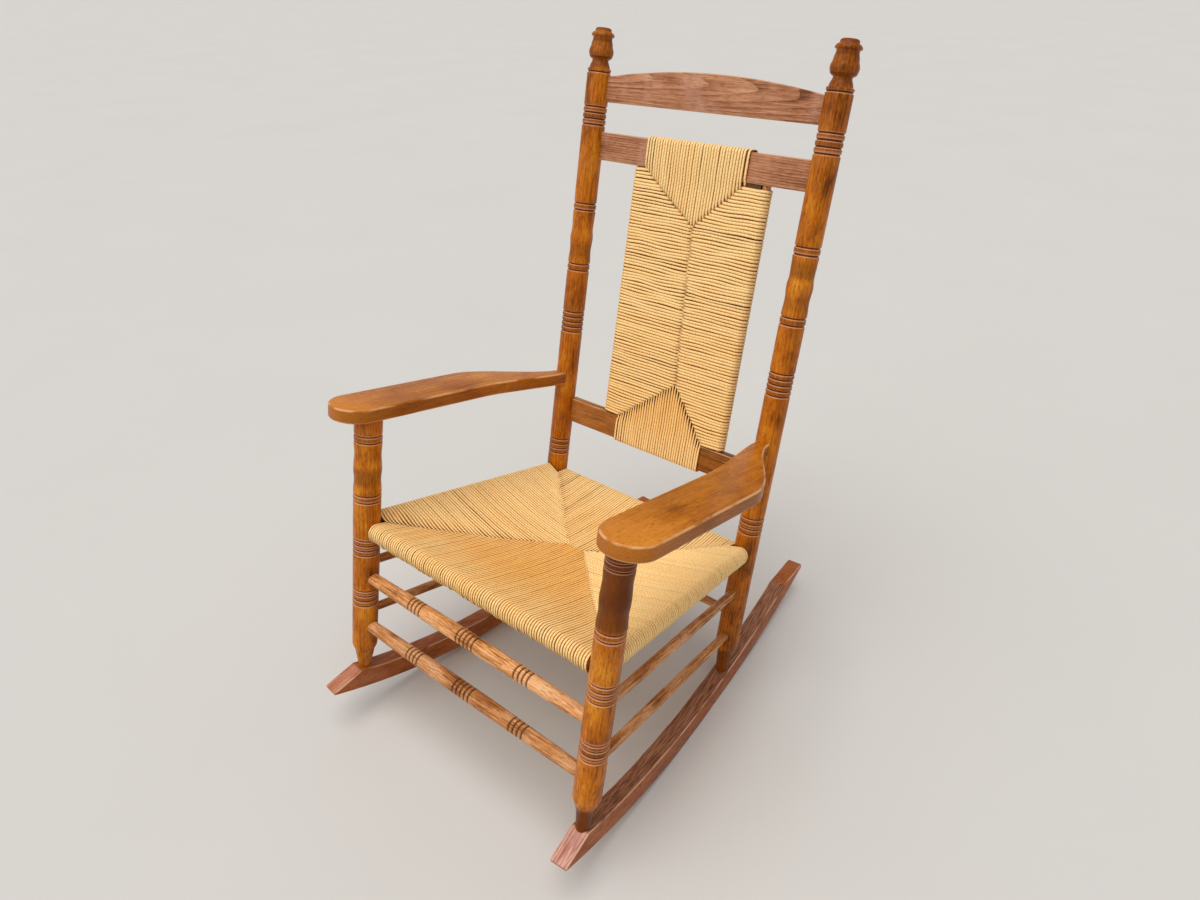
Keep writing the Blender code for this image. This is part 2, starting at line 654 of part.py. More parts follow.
def make_sticks(frame, rails):
    """Upright sticks that hold the sides of the woven back between its two rails."""
    low = LOWER_RAIL_LEVEL + BACK_RAIL_HEIGHT / 2
    high = UPPER_RAIL_LEVEL - BACK_RAIL_HEIGHT / 2
    sticks = {}
    for name, side in SIDES.items():
        place = (WEAVE_SHIFT + side * STICK_SPREAD / 2, FRAME_DEPTH + RAIL_SETBACK, 0.0)
        ends = [
            (low - STICK_TENON_LENGTH, STICK_TENON_RADIUS), (low + CLEARANCE, STICK_TENON_RADIUS),
            (low + CLEARANCE, STICK_RADIUS), (high - CLEARANCE, STICK_RADIUS),
            (high - CLEARANCE, STICK_TENON_RADIUS), (high + STICK_TENON_LENGTH, STICK_TENON_RADIUS),
        ]
        stick = add_object(f"back_stick_{name}", turned(ends, DOWEL_SIDES), frame, "board_oak")
        wide = STICK_TENON_RADIUS + CLEARANCE
        length = STICK_TENON_LENGTH + CLEARANCE
        form = turned([(low - length, wide), (high + length, wide)], DOWEL_SIDES)
        hole = add_object(f"back_stick_hole_{name}", form, frame)
        stick.location = place
        hole.location = place
        shade_round(stick)
        for rail in rails:
            combine(rail, hole)
        sticks[name] = stick
    return sticks


def seat_sides():
    """The seat's sides: axis ends, rail level, the ridge points they sag towards, and the posts' radii."""
    front_left, front_right = front_axis(-1), front_axis(1)
    rear_left, rear_right = rear_axis(-1), rear_axis(1)
    ridge_left = Vector((-SEAT_RIDGE_LENGTH / 2, SEAT_RIDGE_DEPTH, 0.0))
    ridge_right = Vector((SEAT_RIDGE_LENGTH / 2, SEAT_RIDGE_DEPTH, 0.0))
    front, rear = FRONT_POST_RADIUS, REAR_POST_RADIUS
    return [
        (front_left, front_right, SEAT_LEVEL, ridge_left, ridge_right, front, front),
        (front_right, rear_right, SIDE_SEAT_LEVEL, ridge_right, ridge_right, front, rear),
        (rear_right, rear_left, SEAT_LEVEL, ridge_right, ridge_left, rear, rear),
        (rear_left, front_left, SIDE_SEAT_LEVEL, ridge_left, ridge_left, rear, front),
    ]


def seat_points(steps=6):
    """Places along the seat's rails, with the way out, the ridge point and the rail's level at each."""
    places = []
    for start, stop, level, ridge_start, ridge_stop, start_gap, stop_gap in seat_sides():
        along = (stop - start).normalized()
        out = Vector((along.y, -along.x, 0.0))
        first, last = start + along * start_gap, stop - along * stop_gap
        for i in range(steps + 1):
            places.append((first.lerp(last, i / steps), out, ridge_start.lerp(ridge_stop, i / steps), level))
    return places


def roll_loop(turn):
    """Ring of points round the seat, where the rush rolls over its rails."""
    loop = []
    height = ROLL_RADIUS if turn > 0 else ROLL_RADIUS + SEAT_DROOP
    for base, out, _, level in seat_points():
        point = base + out * ROLL_RADIUS * math.cos(turn)
        point.z = level + height * math.sin(turn)
        loop.append(point)
    return loop


def sag_loop(face, inset, share=0.0, distance=0.0):
    """Ring of points on the sagging upper (1) or lower (-1) face, set in from its surface.

    It lies a share of the way from the rails to the ridge, and a distance further in.
    """
    loop = []
    middle = SEAT_LEVEL - SEAT_SAG - SEAT_MIDDLE_THICKNESS * (1 - face) / 2
    for base, out, ridge, level in seat_points():
        way = share + distance / (ridge - base).dot(-out)
        point = base.lerp(ridge, way)
        edge = level + ROLL_RADIUS if face > 0 else level - ROLL_RADIUS - SEAT_DROOP
        point.z = edge + (middle - edge) * math.sin(way * math.pi / 2) - face * inset
        loop.append(point)
    return loop


def sagging(loops):
    """Closed form through the seat's loops, with its twisted faces all split the same way."""
    form = skin(loops)
    caps = [face for face in form.faces if len(face.verts) > 4]
    bmesh.ops.poke(form, faces=caps)
    bmesh.ops.triangulate(form, faces=form.faces, quad_method="FIXED")
    return form


def make_seat(frame, rails, spaces):
    """Rush seat: a skin of cord over the rails and the card padding, open round each rail at the corners."""
    shares = (0.35, 0.70, 0.92)
    loops = [sag_loop(1, 0.0, share) for share in reversed(shares)]
    loops += [roll_loop(math.radians(turn)) for turn in (90, 55, 20, -20, -55, -90)]
    loops += [sag_loop(-1, 0.0, share) for share in shares]
    seat = add_object("rush_seat", sagging(loops), frame, "paper_rush")

    forms = []
    edge = SEAT_RAIL_RADIUS + CLEARANCE
    for grow in (0.0, CLEARANCE):
        inset = CORD_THICKNESS + CLEARANCE - grow
        upper = [sag_loop(1, inset, share) for share in reversed(shares)]
        lower = [sag_loop(-1, inset, share) for share in shares]
        rim = [sag_loop(face, inset, distance=edge - 2 * grow) for face in (1, -1)]
        forms.append(sagging(upper + rim + lower))
    padding = add_object("seat_padding", forms[0], frame, "card")
    hollow = add_object("seat_padding_room", forms[1], frame)

    combine(seat, hollow)
    for name, rail in rails.items():
        radius = SEAT_RAIL_RADIUS + CLEARANCE
        span = (FRONT_SPREAD if name in ("front", "rear") else FRAME_DEPTH) + 4 * FRONT_POST_RADIUS
        form = turned([(-2 * FRONT_POST_RADIUS, radius), (span, radius)], DOWEL_SIDES)
        room = add_object(f"seat_rail_room_{name}", form, frame)
        room.location = rail.location
        room.rotation_mode = "QUATERNION"
        room.rotation_quaternion = rail.rotation_quaternion
        combine(seat, room)
        combine(padding, room)
    for space in spaces.values():
        combine(seat, space)
        combine(padding, space)


def panel_form(middle_x, half_width, low, high, thickness, ease):
    """Upright slab across the back with eased front and rear edges."""
    middle = FRAME_DEPTH + RAIL_SETBACK
    loops = []
    for share, inset in ((-0.5, ease), (-0.25, 0.0), (0.25, 0.0), (0.5, ease)):
        y = middle + share * thickness
        left, right = middle_x - half_width + inset, middle_x + half_width - inset
        bottom, top = low + inset, high - inset
        loops.append([(left, y, bottom), (right, y, bottom), (right, y, top), (left, y, top)])
    return skin(loops)


def make_back(frame, sticks):
    """Rush back: a panel on two sticks that wraps over the upper and lower back rails, round card padding."""
    rail_low = LOWER_RAIL_LEVEL + BACK_RAIL_HEIGHT / 2
    rail_high = UPPER_RAIL_LEVEL - BACK_RAIL_HEIGHT / 2
    cord = BACK_CORD_THICKNESS
    half_width = STICK_SPREAD / 2 + STICK_RADIUS + cord
    thickness = 2 * (STICK_RADIUS + cord)
    form = panel_form(WEAVE_SHIFT, half_width, rail_low + CLEARANCE, rail_high - CLEARANCE, thickness, cord)
    back = add_object("rush_back", form, frame, "paper_rush")
    half_wrap = BACK_WRAP_WIDTH / 2
    wrap_thickness = RAIL_THICKNESS + 2 * cord
    for name, level in (("upper", UPPER_RAIL_LEVEL), ("lower", LOWER_RAIL_LEVEL)):
        reach = BACK_RAIL_HEIGHT / 2 + cord
        form = panel_form(0.0, half_wrap, level - reach, level + reach, wrap_thickness, cord / 2)
        wrap = add_object(f"back_wrap_{name}", form, frame)
        combine(back, wrap, "UNION")

    middle = FRAME_DEPTH + RAIL_SETBACK
    forms = []
    for grow in (0.0, CLEARANCE):
        reach = STICK_SPREAD / 2 - STICK_RADIUS - CLEARANCE + 2 * grow
        across = (WEAVE_SHIFT - reach, WEAVE_SHIFT + reach)
        deep = thickness / 2 - cord - CLEARANCE + grow
        low, high = rail_low + CLEARANCE - 2 * grow, rail_high - CLEARANCE + 2 * grow
        forms.append(box(across, (middle - deep, middle + deep), (low, high)))
    add_object("back_padding", forms[0], frame, "card")
    combine(back, add_object("back_padding_room", forms[1], frame))
    for name, level in (("upper", UPPER_RAIL_LEVEL), ("lower", LOWER_RAIL_LEVEL)):
        deep = RAIL_THICKNESS / 2 + CLEARANCE
        tall = BACK_RAIL_HEIGHT / 2 + CLEARANCE
        form = box((-half_width, half_width), (middle - deep, middle + deep), (level - tall, level + tall))
        combine(back, add_object(f"back_rail_room_{name}", form, frame))
    for name, stick in sticks.items():
        radius = STICK_RADIUS + CLEARANCE
        reach = [(rail_low - cord, radius), (rail_high + cord, radius)]
        room = add_object(f"back_stick_room_{name}", turned(reach, DOWEL_SIDES), frame)
        room.location = stick.location
        combine(back, room)


def main():
    clear_scene()
    frame = make_frame()
    posts, spaces = make_posts(frame)
    make_rockers(frame)
    seat_rails = make_dowels(frame, posts)
    make_arms(frame, posts, spaces)
    back_rails = make_rails(frame, posts, spaces)
    sticks = make_sticks(frame, [back_rails["upper_back_rail"], back_rails["lower_back_rail"]])
    make_seat(frame, seat_rails, spaces)
    make_back(frame, sticks)


main()
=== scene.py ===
import json
import random
from math import asin, atan2, cos, degrees, pi, radians, sin, tan

import bpy
from mathutils import Matrix, Vector, noise
from mathutils.geometry import intersect_line_line_2d


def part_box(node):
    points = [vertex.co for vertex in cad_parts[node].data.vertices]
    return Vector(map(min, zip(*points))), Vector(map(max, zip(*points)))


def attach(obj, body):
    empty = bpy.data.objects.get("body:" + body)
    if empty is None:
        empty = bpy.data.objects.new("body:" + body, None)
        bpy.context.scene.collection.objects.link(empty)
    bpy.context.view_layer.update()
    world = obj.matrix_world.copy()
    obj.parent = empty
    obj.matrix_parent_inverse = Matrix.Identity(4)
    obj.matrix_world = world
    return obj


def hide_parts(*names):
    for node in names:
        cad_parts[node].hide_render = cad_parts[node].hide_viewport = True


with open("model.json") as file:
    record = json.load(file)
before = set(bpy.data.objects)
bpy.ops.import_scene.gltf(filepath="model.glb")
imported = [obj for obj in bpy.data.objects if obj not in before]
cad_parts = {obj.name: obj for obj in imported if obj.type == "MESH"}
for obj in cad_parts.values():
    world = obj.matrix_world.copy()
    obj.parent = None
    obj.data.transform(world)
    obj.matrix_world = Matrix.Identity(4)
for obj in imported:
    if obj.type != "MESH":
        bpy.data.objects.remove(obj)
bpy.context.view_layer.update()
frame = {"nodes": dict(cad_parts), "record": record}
print("frame loaded: %d nodes" % len(frame["nodes"]))


# The chair's own axes: x across, v back from the front posts, w up along the posts

def middle(node):
    low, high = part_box(node)
    return (Vector(low) + Vector(high)) / 2


chair = {
    "seatLevel": 0.284,  # w of the front seat rail
    "frontPost": 0.0235,  # radius of the round
    "rearPost": 0.02225,
}
frontRail = middle("seat_rail_front")
rearRail = middle("seat_rail_rear")
rearBar = middle("rear_stretcher")
lean = atan2(rearRail.y - rearBar.y, rearRail.z - rearBar.z)
atSeat = Matrix.Translation((0, frontRail.y, frontRail.z))
chairPlace = atSeat @ Matrix.Rotation(-lean, 4, "X") @ Matrix.Translation((0, 0, -chair["seatLevel"]))
toChair = chairPlace.inverted()
depth = (toChair @ rearRail).y
frontHalf = middle("front_post_right").x
rearHalf = middle("rear_post_right").x
sides = {"left": -1, "right": 1}
print("lean %.2f degrees, frame depth %.3f m" % (degrees(lean), depth))


def pair(half, y, z):  # a left and a right point
    return [Vector((sign * half, y, z)) for sign in sides.values()]


# Shader maths: a wired socket that adds its own Math nodes

def maths(operation, reflected=False):
    def add(wire, *others):
        terms = [wire, *others]
        if reflected:
            terms.reverse()
        return wire.finish.node("ShaderNodeMath", {"operation": operation}, dict(enumerate(terms)))
    return add


class Wire:
    def __init__(self, finish, socket):
        self.finish = finish
        self.socket = socket

    __add__, __radd__ = maths("ADD"), maths("ADD", True)
    __sub__, __rsub__ = maths("SUBTRACT"), maths("SUBTRACT", True)
    __mul__, __rmul__ = maths("MULTIPLY"), maths("MULTIPLY", True)
    __truediv__, __rtruediv__ = maths("DIVIDE"), maths("DIVIDE", True)
    __pow__, __rpow__ = maths("POWER"), maths("POWER", True)
    fraction = maths("FRACT")
    sine = maths("SINE")

    def between(self, low, high):  # 0 at low, 1 at high, smooth
        settings = {"interpolation_type": "SMOOTHSTEP"}
        inputs = {"Value": self, "From Min": low, "From Max": high}
        return self.finish.node("ShaderNodeMapRange", settings, inputs)


class Finish:
    def __init__(self, name):
        self.material = bpy.data.materials.new(name)
        self.material.use_nodes = True
        self.tree = self.material.node_tree
        self.shader = self.tree.nodes["Principled BSDF"]

    def feed(self, socket, value):
        if isinstance(value, Wire):
            self.tree.links.new(value.socket, socket)
        else:
            socket.default_value = value

    def node(self, kind, settings=None, inputs=None, output=0):
        made = self.tree.nodes.new(kind)
        for key, value in (settings or {}).items():
            if key == "stops":
                ramp = made.color_ramp
                while len(ramp.elements) < len(value):
                    ramp.elements.new(1.0)
                for element, (place, colour) in zip(ramp.elements, value):
                    element.position = place
                    element.color = colour
            else:
                setattr(made, key, value)
        for key, value in (inputs or {}).items():
            self.feed(made.inputs[key], value)
        return Wire(self, made.outputs[output])

    def set(self, **inputs):
        for key, value in inputs.items():
            self.feed(self.shader.inputs[key.replace("_", " ")], value)

    def place(self, kind="Object"):
        return self.node("ShaderNodeTexCoord", None, None, kind)

    def parts(self, vector):
        split = self.node("ShaderNodeSeparateXYZ", None, {0: vector})
        return [Wire(self, socket) for socket in split.socket.node.outputs]

    def joined(self, x, y, z):
        return self.node("ShaderNodeCombineXYZ", None, {0: x, 1: y, 2: z})

    def cloud(self, vector, scale=1.0, detail=2.0, roughness=0.5):
        inputs = {"Vector": vector, "Scale": scale, "Detail": detail, "Roughness": roughness}
        return self.node("ShaderNodeTexNoise", None, inputs)

    def mark(self, name):
        return self.node("ShaderNodeAttribute", {"attribute_name": name}, None, "Fac")

    def ramp(self, factor, stops):
        return self.node("ShaderNodeValToRGB", {"stops": stops}, {0: factor})

    def mix(self, factor, first, second):
        settings = {"data_type": "RGBA", "clamp_factor": True}
        return self.node("ShaderNodeMix", settings, {0: factor, 6: first, 7: second}, 2)

    def layered(self, colour, layers):  # each layer: its share, then its colour
        for share, over in layers:
            colour = self.mix(share, colour, over)
        return colour

    def bump(self, height, strength, distance):
        inputs = {"Height": height, "Strength": strength, "Distance": distance}
        return self.node("ShaderNodeBump", None, inputs)


def tint(red, green, blue):  # 0 to 255 as a picture shows them
    def linear(c):
        c = c / 255
        return c / 12.92 if c <= 0.04045 else ((c + 0.055) / 1.055) ** 2.4
    return (linear(red), linear(green), linear(blue), 1.0)


# Finishes. Each oak has its grain axis, its colours, and how strongly each figure of the wood shows.
# A size of figure counts its cells to the metre, across and along the grain.

oakLooks = {
    "turnedOak": {
        "grain": 2, "dark": tint(100, 46, 4), "mid": tint(185, 100, 6), "pale": tint(224, 146, 34),
        # on turned posts the worn colour serves only as the painted highlight on the groove lips
        "pore": tint(84, 38, 4), "worn": tint(220, 158, 122), "blush": tint(190, 115, 50),
        "blushShare": 0.20, "bands": (18, 26), "mottle": 1.0, "streak": 0.6, "streakSize": (340, 24),
        "dashes": 0.46, "dashSize": (600, 110), "rings": 0.10, "ringGap": 0.0058,
        "pith": (0.034, 0.021), "tilt": (0.035, 0.012), "wander": 0.014, "gloss": 0.25,
    },
    "stretcherOak": {
        "grain": 2, "dark": tint(106, 54, 16), "mid": tint(192, 126, 68), "pale": tint(228, 178, 128),
        "pore": tint(100, 52, 20), "worn": tint(228, 178, 138), "blush": tint(214, 162, 120),
        "blushShare": 0.45, "bands": (30, 14), "mottle": 0.8, "streak": 0.95, "streakSize": (300, 14),
        "dashes": 0.50, "dashSize": (600, 70), "rings": 0.14, "ringGap": 0.0050,
        "pith": (0.050, 0.014), "tilt": (0.020, 0.016), "wander": 0.012, "gloss": 0.32,
    },
    "armOak": {
        "grain": 1, "dark": tint(122, 62, 8), "mid": tint(176, 98, 12), "pale": tint(214, 138, 46),
        "pore": tint(102, 50, 8), "worn": tint(234, 182, 128), "blush": tint(186, 114, 44),
        "blushShare": 0.4, "bands": (16, 9), "mottle": 0.8, "streak": 0.7, "streakSize": (380, 16),
        "dashes": 0.42, "dashSize": (760, 90), "rings": 0.12, "ringGap": 0.0058,
        "pith": (-0.330, 0.120), "tilt": (0.020, 0.030), "wander": 0.010, "gloss": 0.28,
        "glow": tint(222, 138, 48), "glowReach": (0.085, -0.030),  # painted highlight: the front ends are painted a lighter golden
        "wall": 0.42,  # painted shade: the board's side walls are painted darker than its top
    },
    "railOak": {
        "grain": 0, "dark": tint(110, 60, 26), "mid": tint(180, 120, 84), "pale": tint(208, 157, 120),
        # the pale blush bands are partly the board's figure, partly a painted reflection
        "pore": tint(104, 58, 28), "worn": tint(214, 164, 120), "blush": tint(196, 144, 120),
        "blushShare": 0.55, "bands": (7, 16), "mottle": 0.6, "streak": 0.8, "streakSize": (340, 11),
        "dashes": 0.45, "dashSize": (700, 60), "rings": 0.26, "ringGap": 0.0042,
        "pith": (-1.100, 0.030), "tilt": (0.040, 0.050), "wander": 0.020, "gloss": 0.36,
    },
    "rockerOak": {
        "grain": 0, "dark": tint(100, 50, 20), "mid": tint(166, 88, 36), "pale": tint(196, 122, 64),
        "pore": tint(84, 44, 22), "worn": tint(226, 178, 146), "blush": tint(180, 116, 84),
        "blushShare": 0.45, "bands": (22, 7), "mottle": 0.6, "streak": 0.9, "streakSize": (640, 26),
        "dashes": 0.50, "dashSize": (760, 60), "rings": 0.06, "ringGap": 0.0046,
        "pith": (0.020, 0.150), "tilt": (0.012, 0.012), "wander": 0.006, "gloss": 0.36,
        "bend": 1.30,  # the grain follows the curve, of this radius
        "bare": (tint(164, 108, 92), tint(222, 172, 156)),  # kicked noses
        "tread": (tint(78, 46, 30), tint(160, 114, 88)),  # painted shade on the tops, streaked along the grain
    },
}
# painted light: a lighter copy of the stretcher oak for the upper stretcher, which lies in the seat's shade
oakLooks["litUpperStretcherOak"] = {
    **oakLooks["stretcherOak"],
    "dark": tint(132, 72, 26), "mid": tint(228, 158, 94), "pale": tint(252, 208, 156),
}
oakLooks["lowRailOak"] = {
    **oakLooks["railOak"], "dark": tint(92, 48, 12), "mid": tint(164, 98, 32), "pale": tint(200, 136, 64),
    "blush": tint(120, 68, 22), "blushShare": 0.50,
}
oakFigure = {  # what all the oaks share: sizes of figure, then the shares of what lies over the colour
    "wander": (16, 2.4), "glint": (360, 60), "mottle": (26, 14), "patch": (8, 4), "wear": (50, 16),
    "lines": (330, 24), "pieceShift": (3.3, 5.7, 2.1),
    "glintShare": 0.35, "glowShare": 0.6, "topShadeShare": 0.8, "bareShare": 0.82, "shadeShare": 0.90,
    # the groove colour: dirt and painted shade in the grooves
    "lipShare": 0.65, "grooveShare": 0.9, "wearShare": 0.75, "grooveShadeAndDirt": tint(50, 22, 6),
    "tones": (0.20, 0.50, 0.84), "toneMiddle": 0.53,  # where dark, mid and pale lie
    "bump": 0.24, "bumpDepth": 0.0005, "sheen": 0.16,
}


def oakFinish(name, look):
    f, w = Finish(name), oakFigure
    axes = f.parts(f.place())
    length = axes[look["grain"]]
    first, second = [axes[i] for i in range(3) if i != look["grain"]]
    if "bend" in look:
        first = first - length * length * (0.5 / look["bend"])
    piece = f.mark("piece")  # so no two pieces have the same figure
    shiftAcross, shiftAlong, shiftLines = [piece * step for step in w["pieceShift"]]

    def grained(size, detail=2.0, roughness=0.5):
        across, lengthwise = size
        point = f.joined(first * across + shiftAcross, second * across, length * lengthwise + shiftAlong)
        return f.cloud(point, 1.0, detail, roughness)

    wander = (grained(w["wander"], 3.0) - 0.5) * look["wander"]
    awayFirst = first + look["pith"][0] + length * look["tilt"][0] + wander
    awaySecond = second + look["pith"][1] + length * look["tilt"][1] + wander * 0.8
    ring = ((awayFirst * awayFirst + awaySecond * awaySecond) ** 0.5 / look["ringGap"]).fraction()
    early = (1 - ring) ** 2.2  # porous line where each year starts
    streak = grained(look["streakSize"], 3.0, 0.6)
    dash = grained(look["dashSize"], 1.0).between(0.53, 0.66)  # short open pores
    glint = grained(w["glint"], 1.0).between(0.62, 0.74)
    mottle = (grained(w["mottle"], 3.0, 0.6) - 0.5) * look["mottle"]
    patch = grained(w["patch"]) - 0.5
    wear = f.mark("wear") * grained(w["wear"], 3.0).between(0.36, 0.54)
    groove = f.mark("groove")
    tone = w["toneMiddle"] + patch * 0.6 + mottle + (streak - 0.5) * look["streak"] - early * look["rings"]
    colour = f.ramp(tone, list(zip(w["tones"], (look["dark"], look["mid"], look["pale"]))))

    layers = [(grained(look["bands"]).between(0.48, 0.66) * look["blushShare"], look["blush"])]
    # painted highlight: golden towards the arms' front ends
    if "glow" in look:
        layers.append((length.between(*look["glowReach"]) * w["glowShare"], look["glow"]))
    layers += [(dash * look["dashes"], look["pore"]), (glint * w["glintShare"], look["pale"])]
    if "bare" in look:
        acrossLines, alongLines = w["lines"]
        line = f.cloud(f.joined(second * acrossLines, length * alongLines, shiftLines), 1.0, 3.0, 0.6)
        # painted shade on the rockers' tops, streaked along the grain
        shadedTop = f.mix(streak.between(0.36, 0.64), *look["tread"])
        stripped = f.mix(line.between(0.34, 0.62), *look["bare"])
        layers.append((f.mark("tread") * w["topShadeShare"], shadedTop))
        layers.append((f.mark("bare") * (w["bareShare"] + mottle), stripped))
    # painted shade on the side walls of the arms, as if lit from above
    if "wall" in look:
        layers.append((f.mark("wall") * look["wall"], look["dark"]))
    layers += [
        (f.mark("shade") * (w["shadeShare"] + mottle), look["dark"]),
        # painted highlight on each groove's lower lip, in the worn colour
        (f.mark("lip") * w["lipShare"], look["worn"]),
        # dirt and painted shade in the grooves, the shade on the upper flank where grooves are lipped
        (groove * w["grooveShare"], w["grooveShadeAndDirt"]),
        (wear * w["wearShare"], look["worn"]),
    ]
    rough = look["gloss"] + (streak - 0.5) * 0.25 + dash * 0.18 + wear * 0.14 + groove * 0.15
    relief = f.bump(streak * 0.4 - dash * 0.8 - early * look["rings"], w["bump"], w["bumpDepth"])
    f.set(Base_Color=f.layered(colour, layers), Roughness=rough, Normal=relief)
    f.set(Specular_IOR_Level=w["sheen"])
    return f.material


rushLook = {
    # gap and shade: painted shade, with dirt, between and under the cords
    "gap": tint(104, 46, 20), "shade": tint(176, 98, 36), "gold": tint(252, 184, 82),
    "pale": tint(255, 208, 126), "cream": tint(255, 234, 176),
    "creases": 3, "lay": 0.019,  # folds round the cord, and the length of one turn of its twist
    "creamShare": 0.46, "creamFolds": 0.36, "agedCream": 0.7,  # painted highlight: cream on the crowns, less on golden cords
    "foldShade": 0.16, "fibreShade": 0.32, "tuckShade": 0.8,
    "bump": 0.4, "bumpDepth": 0.0006, "sheen": 0.12,
}


def rushFinish(name, look):
    f = Finish(name)
    run, turn, _ = f.parts(f.place("UV"))
    tone, tuck, age, gap = [f.mark(key) for key in cordMarks]
    crown = (turn * (2 * pi)).sine()  # 1 on top of the cord, 0 at its flanks
    rib = crown.between(0.30, 1.0)
    broken = f.cloud(f.joined(run * 45, tone * 50, 0.0), 1.0, 3.0, 0.6)
    drift = f.cloud(f.joined(run * 90, turn * 2, tone * 40))
    twist = turn * look["creases"] + run * (look["creases"] / look["lay"]) + drift * 1.8
    fold = (twist * (2 * pi)).sine() * 0.5 + 0.5
    fibre = f.cloud(f.joined(run * 260, turn * 9 + run * 130, tone * 60), 1.0, 3.0, 0.6)
    blotch = f.cloud(f.place(), 13.0, 4.0, 0.6)
    warm = age * 0.75 + (blotch - 0.5) * 1.1 + (tone - 0.5) * 0.5 + 0.16
    cream = (look["creamShare"] + fold * look["creamFolds"]) * (1 - age * look["agedCream"])
    # painted shade: dark splits between cords, deepest near their ends
    split = (1 - rib).between(0.20, 0.70) * (gap * 0.5 + broken).between(1.17, 1.36)
    colour = f.layered(look["pale"], [
        (warm.between(0.0, 1.0), look["gold"]),
        # painted highlight on the cords' crowns
        (rib.between(0.5, 1.0) * cream, look["cream"]),
        ((1 - fold).between(0.60, 1.0) * look["foldShade"], look["shade"]),
        (fibre.between(0.54, 0.76) * look["fibreShade"], look["shade"]),
        # painted shade and dirt on the flanks between cords
        ((1 - rib) * gap * (0.45 + broken), look["shade"]),
        (split, look["gap"]),
        # painted shade where cords tuck under others and under the rolls
        (tuck * look["tuckShade"], look["gap"]),
    ])
    relief = f.bump(fold * 0.5 + fibre * 0.4, look["bump"], look["bumpDepth"])
    f.set(Base_Color=colour, Roughness=0.62 + fibre * 0.2, Normal=relief)
    f.set(Specular_IOR_Level=look["sheen"])
    return f.material


plainLooks = {  # the speckle's fineness, detail and roughness, its colours, and how rough it leaves the face
    # the padding's card, painted dark brown so that it shows as shade through the gaps between cords
    "card": {
        "speckle": (260.0, 4.0, 0.7), "colours": (tint(70, 46, 26), tint(112, 80, 50)),
        "metal": 0.0, "rough": 0.85, "rougher": 0.1, "bump": 0.2, "bumpDepth": 0.0004,
    },
    "nailSteel": {
        "speckle": (900.0, 3.0, 0.7), "colours": (tint(120, 98, 70), tint(214, 200, 176)),
        "metal": 1.0, "rough": 0.28, "rougher": 0.3, "bump": 0.2, "bumpDepth": 0.0002,
    },
}


def plainFinish(name, look):
    f = Finish(name)
    speckle = f.cloud(f.place(), *look["speckle"])
    relief = f.bump(speckle, look["bump"], look["bumpDepth"])
    f.set(Base_Color=f.mix(speckle, *look["colours"]), Metallic=look["metal"])
    f.set(Roughness=look["rough"] + speckle * look["rougher"], Normal=relief)
    return f.material


cordMarks = ("tone", "tuck", "age", "gap")  # what each point of a cord tells the rush finish
finishes = {name: oakFinish(name, look) for name, look in oakLooks.items()}
finishes["paperRush"] = rushFinish("paperRush", rushLook)
finishes.update({name: plainFinish(name, look) for name, look in plainLooks.items()})
print("finishes made: %d" % len(finishes))


# Mesh makers

def addObject(name, data):
    added = bpy.data.objects.new(name, data)
    bpy.context.scene.collection.objects.link(added)
    return added


def addPiece(name, tubes, place, marks, look, node, crease=None):
    verts, faces = [], []
    for loops in tubes:  # quads between equal loops, capped at both ends
        rows = []
        for loop in loops:
            rows.append(range(len(verts), len(verts) + len(loop)))
            verts += [tuple(point) for point in loop]
        for low, high in zip(rows, rows[1:]):
            for i in range(len(low)):
                j = (i + 1) % len(low)
                faces.append((low[i], low[j], high[j], high[i]))
        faces += [tuple(reversed(rows[0])), tuple(rows[-1])]
    mesh = bpy.data.meshes.new(name)
    mesh.from_pydata(verts, [], faces)
    mesh.shade_smooth()
    if crease:
        mesh.set_sharp_from_angle(angle=radians(crease))
    marks = {**marks, "piece": [float(len(bpy.data.meshes))] * len(verts)}
    for key, values in marks.items():
        layer = mesh.attributes.new(key, "FLOAT", "POINT")
        layer.data.foreach_set("value", values)
    mesh.materials.append(finishes[look])
    piece = addObject(name, mesh)
    piece.matrix_world = place
    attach(piece, "root")
    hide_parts(node)
    return piece


def smooth(t):
    t = min(max(t, 0.0), 1.0)
    return t * t * (3 - 2 * t)


def along(start, stop):  # local Z runs from start to stop
    turn = (stop - start).to_track_quat("Z", "Y").to_matrix().to_4x4()
    return chairPlace @ Matrix.Translation(start) @ turn


def spread(first, last, count):
    return [first + (last - first) * i / (count - 1) for i in range(count)]


def circle(count):
    return [2 * pi * i / count for i in range(count)]


# Turned pieces: knots of level, radius and the way the profile runs there from the knot before

turning = {
    "sides": 44, "step": 0.004, "curveSteps": 6, "crease": 50,
    "grooveDepth": 0.0021, "grooveHalf": 0.0028, "grooveLevels": 11,
    # painted shade lies on a groove's upper flank and bottom, painted highlight on its lower lip
    "flankStart": -0.55, "flankSpan": 0.5, "lipStart": -0.2, "lipSpan": 0.8,  # in halves of a groove
    # the last: how much darker the grooved bands of the posts are painted
    "bandEdge": 0.012, "grooveMargin": 0.004, "grooveDarkening": 0.45,
    "collar": 0.008,  # a foot's darkening stops this far below the round
}
runs = {
    "line": lambda t: t,
    "wave": smooth,
    "out": lambda t: sin(pi / 2 * t),
    "in": lambda t: 1 - cos(pi / 2 * t),
}


def grooveAt(level, grooves, lipped):  # depth, painted shade on the upper flank and painted highlight on the lower lip at a level
    for groove in grooves:
        t = (level - groove) / turning["grooveHalf"]
        if abs(t) < 1:
            dip = 0.5 + 0.5 * cos(pi * t)
            if not lipped:
                return dip, dip, 0.0
            dark = dip * smooth((t - turning["flankStart"]) / turning["flankSpan"])
            return dip, dark, max(0.0, sin(pi * (turning["lipStart"] - t) / turning["lipSpan"]))
    return 0.0, 0.0, 0.0


